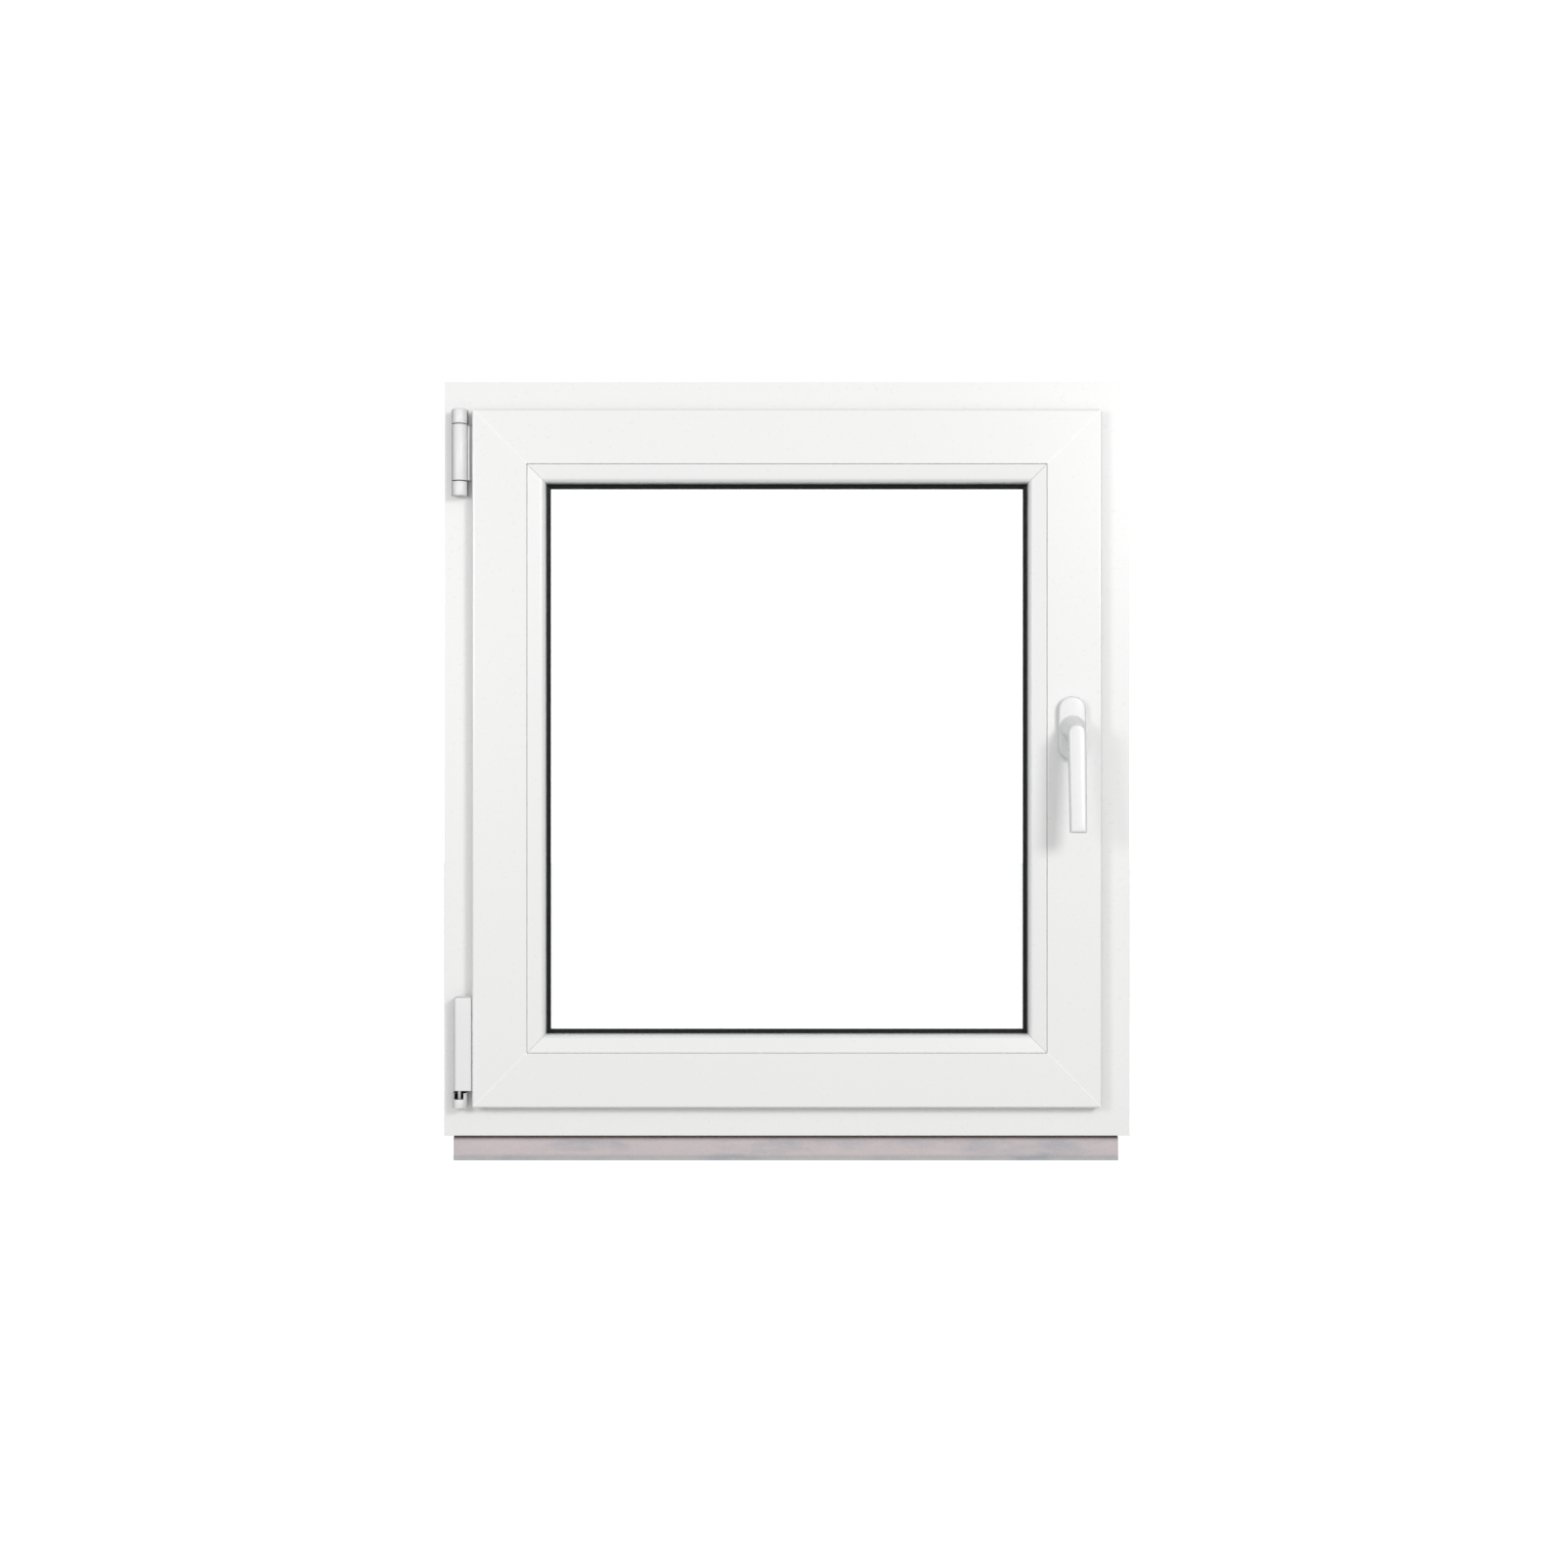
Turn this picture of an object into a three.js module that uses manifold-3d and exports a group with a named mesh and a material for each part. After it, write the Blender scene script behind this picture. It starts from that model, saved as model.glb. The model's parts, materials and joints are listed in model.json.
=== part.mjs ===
// Tilt-and-turn casement window, closed and locked, in millimetres.
// +X is right and -Y is the room side, as seen from the room; +Z is up.
// The origin is on the underside of the base profile, at mid width and mid frame depth.
import * as THREE from "three";
import { mergeVertices } from "three/addons/utils/BufferGeometryUtils.js";
import Module from "manifold-3d";

const wasm = await Module();
wasm.setup();

// ---- driving dimensions -------------------------------------------------------------------

const FRAME_WIDTH = 800;
const FRAME_HEIGHT = 880;
const FRAME_DEPTH = 70;

// base profile under the frame
const BASE_HEIGHT = 30;
const BASE_SETBACK = 6;        // from the frame's room face
const BASE_BACK_SETBACK = 4;   // from the frame's outside face
const BASE_LEFT_INSET = 10;
const BASE_RIGHT_INSET = 12.5;
const BASE_LIP = 4.5;          // height of the foot along its lower edge
const BASE_TOE = 1;            // how far the foot stands in front of the face
const BASE_WALL = 2.2;
const BASE_CHAMBERS = 3;

// frame and sash profiles, across their width
const FRAME_FACE = 43;         // frame edge to rebate floor
const FRAME_LEG = 20;          // outside leg past the rebate floor
const FRAME_LEG_DEPTH = 14.5;
const OVERLAP = 8;             // sash flange over the frame face
const REBATE_AIR = 12;         // rebate floor to sash edge
const SASH_FACE = 63.5;        // sash edge to bead
const BEAD_WIDTH = 20.5;
const SASH_LEG_DEPTH = 15;
const SASH_PROUD = 18;         // sash room face in front of the frame's
const SEAL_GAP = 3.5;          // left for the gaskets between sash and frame
const SASH_CORNER_RADIUS = 6;

// walls, reinforcement and clearances
const WALL = 2.8;
const ANCHOR_GROOVE = 3;
const STEEL = 1.5;
const CLEARANCE = 0.3;
const MITRE_CLEARANCE = 0.15;  // each side of a mitre

// glazing
const GLASS = 4;
const CAVITY = 16;
const INNER_SEAL = 3.5;
const OUTER_SEAL = 5;
const SETTING_BLOCK = 5;
const SETTING_BLOCK_LENGTH = 100;
const SPACER_HEIGHT = 10.5;
const SEAL_LIP = 4.5;          // black seal showing past the bead

// hardware groove round the sash
const GROOVE_DEPTH_POSITION = 27.5;  // groove axis behind the sash's room face
const PLATE_WIDTH = 16;
const PLATE_THICKNESS = 2.5;
const GROOVE_WIDTH = 12;
const GROOVE_DEPTH = 11;

// hinges
const HINGE_LEFT_OF_SASH = 15;       // hinge axis from the sash edge
const HINGE_OFF_FRAME = 12;          // hinge axis in front of the frame face
const BARREL_RADIUS = 8.7;
const STAY_HINGE_BELOW_HEAD = 34.5;  // top of the stay hinge under the frame's top edge
const END_BARREL = 17.5;
const MIDDLE_BARREL = 66;
const PIN_RADIUS = 3;
const LEAF = 2.5;
const TILT_ABOVE_SASH = 6.5;         // tilt axis above the sash's lower edge
const COVER_ABOVE_SASH = 20.3;
const COVER_LENGTH = 108.2;
const COVER_WALL = 1.2;
const STAY_LENGTH = 260;             // hinge axis to the arm's pin
const STAY_ARM_WIDTH = 16;
const STAY_ARM_THICKNESS = 3;

// locking
const HANDLE_HEIGHT = 440;           // spindle above the sash's lower edge
const BACKSET = 15.5;
const ROD_TRAVEL = 36;               // over the handle's half turn
const PINION_TEETH = 12;
const PINION_WIDTH = 7;
const ROD_THICKNESS = 2.2;
const ROD_WIDTH = 9.8;
const CAM_RADIUS = 4.6;
const CAM_REACH = 7.5;               // past the sash edge
const CAM_ABOVE_CORNER = 190;        // cams from the lock side's corners
const CAM_BELOW_CORNER = 180;
const CAM_HEAD_IN = 300;
const CAM_SILL_IN = 330;
const TOOTH_ROOT_SHARE = 0.31;       // half of a pinion tooth at its root, in pitches
const TOOTH_TIP_SHARE = 0.125;       // and at its tip
const WINDOW_SHARE = 0.355;          // half of a rack window, in pitches
const TOOTH_ABOVE_PITCH = 1.2;
const TOOTH_BELOW_PITCH = 1.9;
const CORNER_LEG = 100;              // each leg of a corner drive
const CORNER_BLOCK = 50;
const KEEPER_LENGTH = 56;
const KEEPER_BASE = 1.6;
const KEEPER_LIP = 3.2;
const SPINDLE = 7;

// handle
const ROSETTE_WIDTH = 32;
const ROSETTE_HEIGHT = 74;
const ROSETTE_THICKNESS = 10;
const COLLAR_RADIUS = 14.5;
const COLLAR_HEIGHT = 3;
const NECK_RADIUS = 14;              // at the collar
const LEVER_PROJECTION = 41;         // rosette face to the lever's front, at its top
const LEVER_LEAN = 12;               // how much further out the tip is than the top
const LEVER_THICKNESS = 11;
const LEVER_TOP_WIDTH = 20.8;
const LEVER_TIP_WIDTH = 19.2;
const LEVER_REACH = 120;             // spindle to tip
const LEVER_DROP = 6.4;              // centre of the lever's round top below the spindle

// ---- places worked out from them ----------------------------------------------------------

const FRAME_FACE_Y = -FRAME_DEPTH / 2;
const FRAME_BACK_Y = FRAME_DEPTH / 2;
const LEG_FRONT_Y = FRAME_BACK_Y - FRAME_LEG_DEPTH;
const SASH_FACE_Y = FRAME_FACE_Y - SASH_PROUD;
const FLANGE_BACK_Y = FRAME_FACE_Y - SEAL_GAP;
const SASH_BACK_Y = LEG_FRONT_Y - SEAL_GAP;
const SASH_LEG_Y = SASH_BACK_Y - SASH_LEG_DEPTH;
const OUTER_PANE_BACK_Y = SASH_LEG_Y - OUTER_SEAL;
const INNER_PANE_BACK_Y = OUTER_PANE_BACK_Y - GLASS - CAVITY;
const INNER_PANE_FRONT_Y = INNER_PANE_BACK_Y - GLASS;
const BEAD_BACK_Y = INNER_PANE_FRONT_Y - INNER_SEAL;

const FLANGE = OVERLAP + REBATE_AIR;
const SASH_INSET = FRAME_FACE - OVERLAP;
const BEAD_INNER = SASH_FACE + BEAD_WIDTH;
const GLASS_EDGE = SASH_FACE + SETTING_BLOCK;

const FRAME_RECT = {
  x0: -FRAME_WIDTH / 2,
  x1: FRAME_WIDTH / 2,
  z0: BASE_HEIGHT,
  z1: BASE_HEIGHT + FRAME_HEIGHT,
};
const SASH_RECT = {
  x0: FRAME_RECT.x0 + SASH_INSET,
  x1: FRAME_RECT.x1 - SASH_INSET,
  z0: FRAME_RECT.z0 + SASH_INSET,
  z1: FRAME_RECT.z1 - SASH_INSET,
};

const GROOVE_Y = SASH_FACE_Y + GROOVE_DEPTH_POSITION;
const GROOVE_FLOOR = FLANGE + GROOVE_DEPTH;
const PLATE_FLOOR = FLANGE + PLATE_THICKNESS;
const ROD_INNER = PLATE_FLOOR + CLEARANCE + 0.2;
const ROD_OUTER = ROD_INNER + ROD_THICKNESS;

const AXIS_X = SASH_RECT.x0 - HINGE_LEFT_OF_SASH;
const AXIS_Y = FRAME_FACE_Y - HINGE_OFF_FRAME;
const TILT_Z = SASH_RECT.z0 + TILT_ABOVE_SASH;
const STAY_TOP_Z = FRAME_RECT.z1 - STAY_HINGE_BELOW_HEAD;
const BAND_TOP_Z = STAY_TOP_Z - END_BARREL;
const BAND_FOOT_Z = BAND_TOP_Z - MIDDLE_BARREL;
const STAY_FOOT_Z = BAND_FOOT_Z - END_BARREL;
const ARM_FOOT_Z = SASH_RECT.z1 - FLANGE + 3.5;
const ARM_TOP_Z = ARM_FOOT_Z + STAY_ARM_THICKNESS;
const LEAF_BACK_Y = FRAME_FACE_Y - 0.5;
const LEAF_FRONT_Y = LEAF_BACK_Y - LEAF;
const SASH_EDGE_X0 = SASH_RECT.x0 + FLANGE;
const COVER_Z0 = SASH_RECT.z0 + COVER_ABOVE_SASH;
const COVER_Z1 = COVER_Z0 + COVER_LENGTH;

const SPINDLE_X = SASH_RECT.x1 - FLANGE - BACKSET;
const SPINDLE_Z = SASH_RECT.z0 + HANDLE_HEIGHT;
const ROSETTE_FACE_Y = SASH_FACE_Y - ROSETTE_THICKNESS;
const COLLAR_FACE_Y = ROSETTE_FACE_Y - COLLAR_HEIGHT;
const PITCH_RADIUS = ROD_TRAVEL / Math.PI;
const RACK_PITCH = (2 * Math.PI * PITCH_RADIUS) / PINION_TEETH;
const PINION_TIP = PITCH_RADIUS + TOOTH_ABOVE_PITCH;
const PINION_ROOT = PITCH_RADIUS - TOOTH_BELOW_PITCH;

// ---- shapes -------------------------------------------------------------------------------

// A polygon from [a, b] or [a, b, radius] corners.
function outline(corners, target = new THREE.Shape()) {
  const count = corners.length;
  corners.forEach(([a, b, radius = 0], i) => {
    const here = new THREE.Vector2(a, b);
    const before = new THREE.Vector2(...corners[(i + count - 1) % count].slice(0, 2));
    const after = new THREE.Vector2(...corners[(i + 1) % count].slice(0, 2));
    const enter = before.sub(here).normalize().multiplyScalar(radius).add(here);
    const leave = after.sub(here).normalize().multiplyScalar(radius).add(here);
    if (i === 0) target.moveTo(enter.x, enter.y);
    else target.lineTo(enter.x, enter.y);
    if (radius > 0) target.quadraticCurveTo(here.x, here.y, leave.x, leave.y);
  });
  target.closePath();
  return target;
}

const hole = (corners) => outline(corners, new THREE.Path());

const rectangle = (a0, a1, b0, b1, radius = 0) => [
  [a0, b0, radius],
  [a1, b0, radius],
  [a1, b1, radius],
  [a0, b1, radius],
];

// Extrusions of a shape drawn in one of the three planes.
function extrude(shape, depth, options = {}) {
  return new THREE.ExtrudeGeometry(shape, {
    depth, bevelEnabled: false, curveSegments: 4, steps: 1, ...options,
  });
}

function extrudeUp(shape, z0, z1, options) {
  return extrude(shape, z1 - z0, options).translate(0, 0, z0);
}

function extrudeBack(shape, y0, y1, options) {
  const turn = new THREE.Matrix4().makeBasis(
    new THREE.Vector3(1, 0, 0), new THREE.Vector3(0, 0, 1), new THREE.Vector3(0, -1, 0),
  );
  return extrude(shape, y1 - y0, options).applyMatrix4(turn).translate(0, y1, 0);
}

function extrudeAcross(shape, x0, x1, options) {
  const turn = new THREE.Matrix4().makeBasis(
    new THREE.Vector3(0, 1, 0), new THREE.Vector3(0, 0, 1), new THREE.Vector3(1, 0, 0),
  );
  return extrude(shape, x1 - x0, options).applyMatrix4(turn).translate(x0, 0, 0);
}

const block = (x0, x1, y0, y1, z0, z1) =>
  new THREE.BoxGeometry(x1 - x0, y1 - y0, z1 - z0)
    .translate((x0 + x1) / 2, (y0 + y1) / 2, (z0 + z1) / 2);

const post = (x, y, radius, z0, z1, sides = 24) =>
  new THREE.CylinderGeometry(radius, radius, z1 - z0, sides)
    .rotateX(Math.PI / 2)
    .translate(x, y, (z0 + z1) / 2);

const peg = (x, z, radius, y0, y1, sides = 24) =>
  new THREE.CylinderGeometry(radius, radius, y1 - y0, sides)
    .translate(x, (y0 + y1) / 2, z);

const bolt = (y, z, radius, x0, x1, sides = 24) =>
  new THREE.CylinderGeometry(radius, radius, x1 - x0, sides)
    .rotateZ(Math.PI / 2)
    .translate((x0 + x1) / 2, y, z);

// A round ring or barrel standing on z0, with eased rims.
function barrel(x, y, bore, radius, z0, z1, ease = 1.2) {
  const rim = ease * 0.3;
  const profile = [
    [bore, 0], [radius - ease, 0], [radius - rim, rim], [radius, ease],
    [radius, z1 - z0 - ease], [radius - rim, z1 - z0 - rim], [radius - ease, z1 - z0],
    [bore, z1 - z0], [bore, 0],
  ].map(([r, z]) => new THREE.Vector2(r, z));
  return new THREE.LatheGeometry(profile, 28).rotateX(Math.PI / 2).translate(x, y, z0);
}

// ---- booleans -----------------------------------------------------------------------------

function toSolid(geometry) {
  const bare = geometry.clone();
  bare.deleteAttribute("normal");
  bare.deleteAttribute("uv");
  const merged = mergeVertices(bare, 1e-4);
  return new wasm.Manifold(new wasm.Mesh({
    numProp: 3,
    vertProperties: new Float32Array(merged.attributes.position.array),
    triVerts: new Uint32Array(merged.index.array),
  }));
}

function toGeometry(solid) {
  const mesh = solid.getMesh();
  const geometry = new THREE.BufferGeometry();
  geometry.setAttribute("position", new THREE.BufferAttribute(mesh.vertProperties, 3));
  geometry.setIndex(new THREE.BufferAttribute(mesh.triVerts, 1));
  return geometry;
}

// Joins the first list of geometries and cuts the second list from it.
function carve(joined, cuts = []) {
  let solid = toSolid(joined[0]);
  joined.slice(1).forEach((piece) => {
    solid = solid.add(toSolid(piece));
  });
  cuts.forEach((piece) => {
    solid = solid.subtract(toSolid(piece));
  });
  return toGeometry(solid);
}

// ---- mitred bars and rings ----------------------------------------------------------------

// The four sides of a rectangle: where the profile starts, which way is inward, and how long.
function sideOf(rect, side) {
  const midX = (rect.x0 + rect.x1) / 2;
  const midZ = (rect.z0 + rect.z1) / 2;
  const wide = rect.x1 - rect.x0;
  const high = rect.z1 - rect.z0;
  const [startX, startZ, inX, inZ, length] = {
    bottom: [midX, rect.z0, 0, 1, wide],
    top: [midX, rect.z1, 0, -1, wide],
    left: [rect.x0, midZ, 1, 0, high],
    right: [rect.x1, midZ, -1, 0, high],
  }[side];
  return {
    start: new THREE.Vector3(startX, 0, startZ),
    inward: new THREE.Vector3(inX, 0, inZ),
    length,
  };
}

// The placing of a shape drawn as (distance inward, y, distance along) on a side.
function placeOn(inward, origin) {
  const depth = new THREE.Vector3(0, 1, 0);
  const along = new THREE.Vector3().crossVectors(inward, depth);
  return new THREE.Matrix4().makeBasis(inward, depth, along).setPosition(origin);
}

// A bar whose section is drawn as (distance inward, y), cut at 45 degrees at both ends.
function mitredBar(section, rect, side) {
  const { start, inward, length } = sideOf(rect, side);
  const bar = extrude(section, 1);
  const position = bar.attributes.position;
  for (let i = 0; i < position.count; i += 1) {
    const reach = length / 2 - position.getX(i) - MITRE_CLEARANCE;
    position.setZ(i, position.getZ(i) > 0.5 ? reach : -reach);
  }
  return bar.applyMatrix4(placeOn(inward, start));
}

// A ring round a rectangle; its section's corners are [distance inward, y].
function mitredRing(corners, rect) {
  const anticlockwise = THREE.ShapeUtils.area(corners.map(([x, y]) => ({ x, y }))) > 0;
  const section = anticlockwise ? [...corners].reverse() : corners;
  const count = section.length;
  const vertices = [];
  const faces = [];
  const cornersInTurn = [
    [rect.x0, 1, rect.z0, 1],
    [rect.x1, -1, rect.z0, 1],
    [rect.x1, -1, rect.z1, -1],
    [rect.x0, 1, rect.z1, -1],
  ];
  cornersInTurn.forEach(([x, inX, z, inZ]) => {
    section.forEach(([inset, y]) => vertices.push(x + inX * inset, y, z + inZ * inset));
  });
  for (let c = 0; c < 4; c += 1) {
    for (let k = 0; k < count; k += 1) {
      const a = c * count + k;
      const b = c * count + ((k + 1) % count);
      const d = ((c + 1) % 4) * count + k;
      const e = ((c + 1) % 4) * count + ((k + 1) % count);
      faces.push(a, b, e, a, e, d);
    }
  }
  const ring = new THREE.BufferGeometry();
  ring.setAttribute("position", new THREE.BufferAttribute(new Float32Array(vertices), 3));
  ring.setIndex(faces);
  return ring;
}

// ---- materials ----------------------------------------------------------------------------

const finish = (color, roughness, metalness = 0) => () =>
  new THREE.MeshStandardMaterial({ color, roughness, metalness });

const whitePvc = finish("#eef0ef", 0.28);
const whiteCover = finish("#e3e4e4", 0.35);
const handleWhite = finish("#e9ebeb", 0.3);
const blackRubber = finish("#17181a", 0.7);
const galvanised = finish("#9da3a8", 0.45, 0.9);
const zincPlate = finish("#b4b7ba", 0.35, 0.9);
const baseGrey = finish("#c4bbba", 0.55);
const blackPlastic = finish("#202224", 0.5);
const clearGlass = finish("#dfe9e8", 0.05);

const windowGroup = new THREE.Group();

function part(name, material, geometry) {
  const mesh = new THREE.Mesh(geometry, material());
  mesh.name = name;
  windowGroup.add(mesh);
}

// ---- frame --------------------------------------------------------------------------------

const FRAME_SIDES = {
  frame_sill: "bottom",
  frame_head: "top",
  frame_hinge_jamb: "left",
  frame_lock_jamb: "right",
};
const REBATE_STEP_Y = FRAME_FACE_Y + 29;    // where the rebate floor steps down
const REBATE_STEP = 4;
const CHAMBER_OUT = ANCHOR_GROOVE + WALL;
const CHAMBER_IN = FRAME_FACE - REBATE_STEP - WALL;
const FACE_CHAMBER_DEPTH = 8;
const WEB = 1.8;
const FRAME_STEEL_Y0 = FRAME_FACE_Y + WALL + FACE_CHAMBER_DEPTH + WEB;
const FRAME_STEEL_Y1 = FRAME_STEEL_Y0 + 27;
const LEG_CHAMBER_Y = LEG_FRONT_Y + WALL;

function frameSection() {
  const grooveHalf = 3;
  const groovePitch = FRAME_DEPTH * 0.25;
  const legEnd = FRAME_FACE + FRAME_LEG;
  const section = outline([
    [0, FRAME_FACE_Y, 0.8],
    [FRAME_FACE, FRAME_FACE_Y, 1.5],
    [FRAME_FACE, REBATE_STEP_Y],
    [FRAME_FACE - REBATE_STEP, REBATE_STEP_Y + REBATE_STEP],
    [FRAME_FACE - REBATE_STEP, LEG_FRONT_Y],
    [legEnd, LEG_FRONT_Y, 2],
    [legEnd, FRAME_BACK_Y, 2],
    [0, FRAME_BACK_Y, 0.8],
    [0, groovePitch + grooveHalf],
    [ANCHOR_GROOVE, groovePitch + grooveHalf],
    [ANCHOR_GROOVE, groovePitch - grooveHalf],
    [0, groovePitch - grooveHalf],
    [0, -groovePitch + grooveHalf],
    [ANCHOR_GROOVE, -groovePitch + grooveHalf],
    [ANCHOR_GROOVE, -groovePitch - grooveHalf],
    [0, -groovePitch - grooveHalf],
  ]);
  section.holes = [
    hole(rectangle(CHAMBER_OUT, FRAME_FACE - WALL, FRAME_FACE_Y + WALL, FRAME_STEEL_Y0 - WEB)),
    hole(rectangle(CHAMBER_OUT, CHAMBER_IN, FRAME_STEEL_Y0, FRAME_STEEL_Y1)),
    hole(rectangle(CHAMBER_OUT, CHAMBER_IN, FRAME_STEEL_Y1 + WEB, LEG_FRONT_Y - WEB)),
    hole(rectangle(CHAMBER_OUT, legEnd - WALL, LEG_CHAMBER_Y, FRAME_BACK_Y - WALL)),
  ];
  return section;
}

// A channel lying in the chamber a0..a1, y0..y1, open towards the profile's outer edge.
function channelSection(a0, a1, y0, y1) {
  const lip = 6;
  return outline([
    [a0, y0],
    [a1, y0, STEEL],
    [a1, y1, STEEL],
    [a0, y1],
    [a0, y1 - lip],
    [a0 + STEEL, y1 - lip],
    [a0 + STEEL, y1 - STEEL],
    [a1 - STEEL, y1 - STEEL],
    [a1 - STEEL, y0 + STEEL],
    [a0, y0 + STEEL],
  ]);
}

const frameSteelSection = channelSection(
  CHAMBER_OUT + CLEARANCE, CHAMBER_IN - CLEARANCE,
  FRAME_STEEL_Y0 + CLEARANCE, FRAME_STEEL_Y1 - CLEARANCE,
);

// drain slots in the sill: one out through the back, one in from the rebate beside it
const DRAIN_X = [-FRAME_WIDTH / 4, FRAME_WIDTH / 4];
const DRAIN = { length: 28, height: 5, radius: 2.4, aside: 40 };
const DRAIN_Z = FRAME_RECT.z0 + FRAME_FACE + 4;

function drainSlots(x) {
  const half = DRAIN.length / 2;
  const z0 = DRAIN_Z - DRAIN.height / 2;
  const z1 = DRAIN_Z + DRAIN.height / 2;
  const out = outline(rectangle(x - half, x + half, z0, z1, DRAIN.radius));
  const inner = x + DRAIN.aside;
  return [
    extrudeBack(out, LEG_CHAMBER_Y + 1, FRAME_BACK_Y + 1),
    block(inner, inner + DRAIN.length, LEG_FRONT_Y - 1, LEG_CHAMBER_Y + 1, z0, z1),
  ];
}

for (const [name, side] of Object.entries(FRAME_SIDES)) {
  const bar = mitredBar(frameSection(), FRAME_RECT, side);
  const slots = side === "bottom" ? DRAIN_X.flatMap(drainSlots) : [];
  part(name, whitePvc, carve([bar], slots));
  part(name.replace("frame_", "frame_steel_"), galvanised, mitredBar(frameSteelSection, FRAME_RECT, side));
}

// hooded caps over the drain slots, on the outside, each open below
const DRAIN_CAP = { past: 4, half: 6, depth: 4, radius: 4, wall: 1.2, rim: 2.5 };

function drainCap(x) {
  const half = DRAIN.length / 2 + DRAIN_CAP.past;
  const shell = extrudeBack(
    outline(rectangle(
      x - half, x + half, DRAIN_Z - DRAIN_CAP.half, DRAIN_Z + DRAIN_CAP.half, DRAIN_CAP.radius,
    )),
    FRAME_BACK_Y, FRAME_BACK_Y + DRAIN_CAP.depth,
  );
  const mouth = block(
    x - half + DRAIN_CAP.rim, x + half - DRAIN_CAP.rim,
    FRAME_BACK_Y - 1, FRAME_BACK_Y + DRAIN_CAP.depth - DRAIN_CAP.wall,
    DRAIN_Z - DRAIN_CAP.half - 1, DRAIN_Z + DRAIN_CAP.half - DRAIN_CAP.rim,
  );
  return carve([shell], [mouth]);
}

part("drain_cap_left", whitePvc, drainCap(DRAIN_X[0]));
part("drain_cap_right", whitePvc, drainCap(DRAIN_X[1]));

// rebate gasket on the outside leg, facing the back of the sash
const LEG_SEAL = { inner: FRAME_FACE + FRAME_LEG - 2, width: 5, nose: SASH_BACK_Y + CLEARANCE };

part("frame_gasket", blackRubber, mitredRing([
  [LEG_SEAL.inner - LEG_SEAL.width, LEG_FRONT_Y],
  [LEG_SEAL.inner, LEG_FRONT_Y],
  [LEG_SEAL.inner, LEG_SEAL.nose + 1],
  [LEG_SEAL.inner - 1.4, LEG_SEAL.nose],
  [LEG_SEAL.inner - 3.6, LEG_SEAL.nose + 0.8],
], FRAME_RECT));

// base profile, a chambered extrusion with a foot along its room side
function basePart() {
  const front = FRAME_FACE_Y + BASE_SETBACK;
  const back = FRAME_BACK_Y - BASE_BACK_SETBACK;
  const groove = 3;
  const section = outline([
    [front - BASE_TOE, 0],
    [back, 0, 0.6],
    [back, BASE_HEIGHT, 0.6],
    [front + groove, BASE_HEIGHT],
    [front + groove, BASE_HEIGHT - 2.4],
    [front, BASE_HEIGHT - 4.4, 1],
    [front, BASE_LIP],
    [front - BASE_TOE, BASE_LIP - 0.8],
  ]);
  const first = front + groove + BASE_WALL;
  const pitch = (back - first) / BASE_CHAMBERS;
  section.holes = Array.from({ length: BASE_CHAMBERS }, (_, i) => {
    const y0 = first + i * pitch;
    const wall = BASE_WALL + i * 0.3;    // a little thicker towards the outside
    return hole(rectangle(y0, y0 + pitch - BASE_WALL, wall, BASE_HEIGHT - 1 - wall));
  });
  return extrudeAcross(section, FRAME_RECT.x0 + BASE_LEFT_INSET, FRAME_RECT.x1 - BASE_RIGHT_INSET);
}

part("base_profile", baseGrey, basePart());

// ---- sash ---------------------------------------------------------------------------------

const SASH_SIDES = {
  sash_bottom_rail: "bottom",
  sash_top_rail: "top",
  sash_hinge_stile: "left",
  sash_lock_stile: "right",
};
const BACK_EDGE = FLANGE + 2;
const BACK_EDGE_Y = SASH_FACE_Y + 45;
const BEAD_GROOVE = { y0: SASH_FACE_Y + 4, y1: SASH_FACE_Y + 8, depth: 4 };
const BEAD_GROOVE_SIDE = SASH_FACE - BEAD_GROOVE.depth - WALL;
const SMALL_CHAMBER = 14.5;
const SASH_STEEL_Y0 = SASH_FACE_Y + 20;
const SASH_STEEL_Y1 = SASH_LEG_Y - 5;
const SASH_STEEL_OUT = GROOVE_FLOOR + WALL;
const SASH_STEEL_IN = SASH_FACE - WALL;

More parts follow.
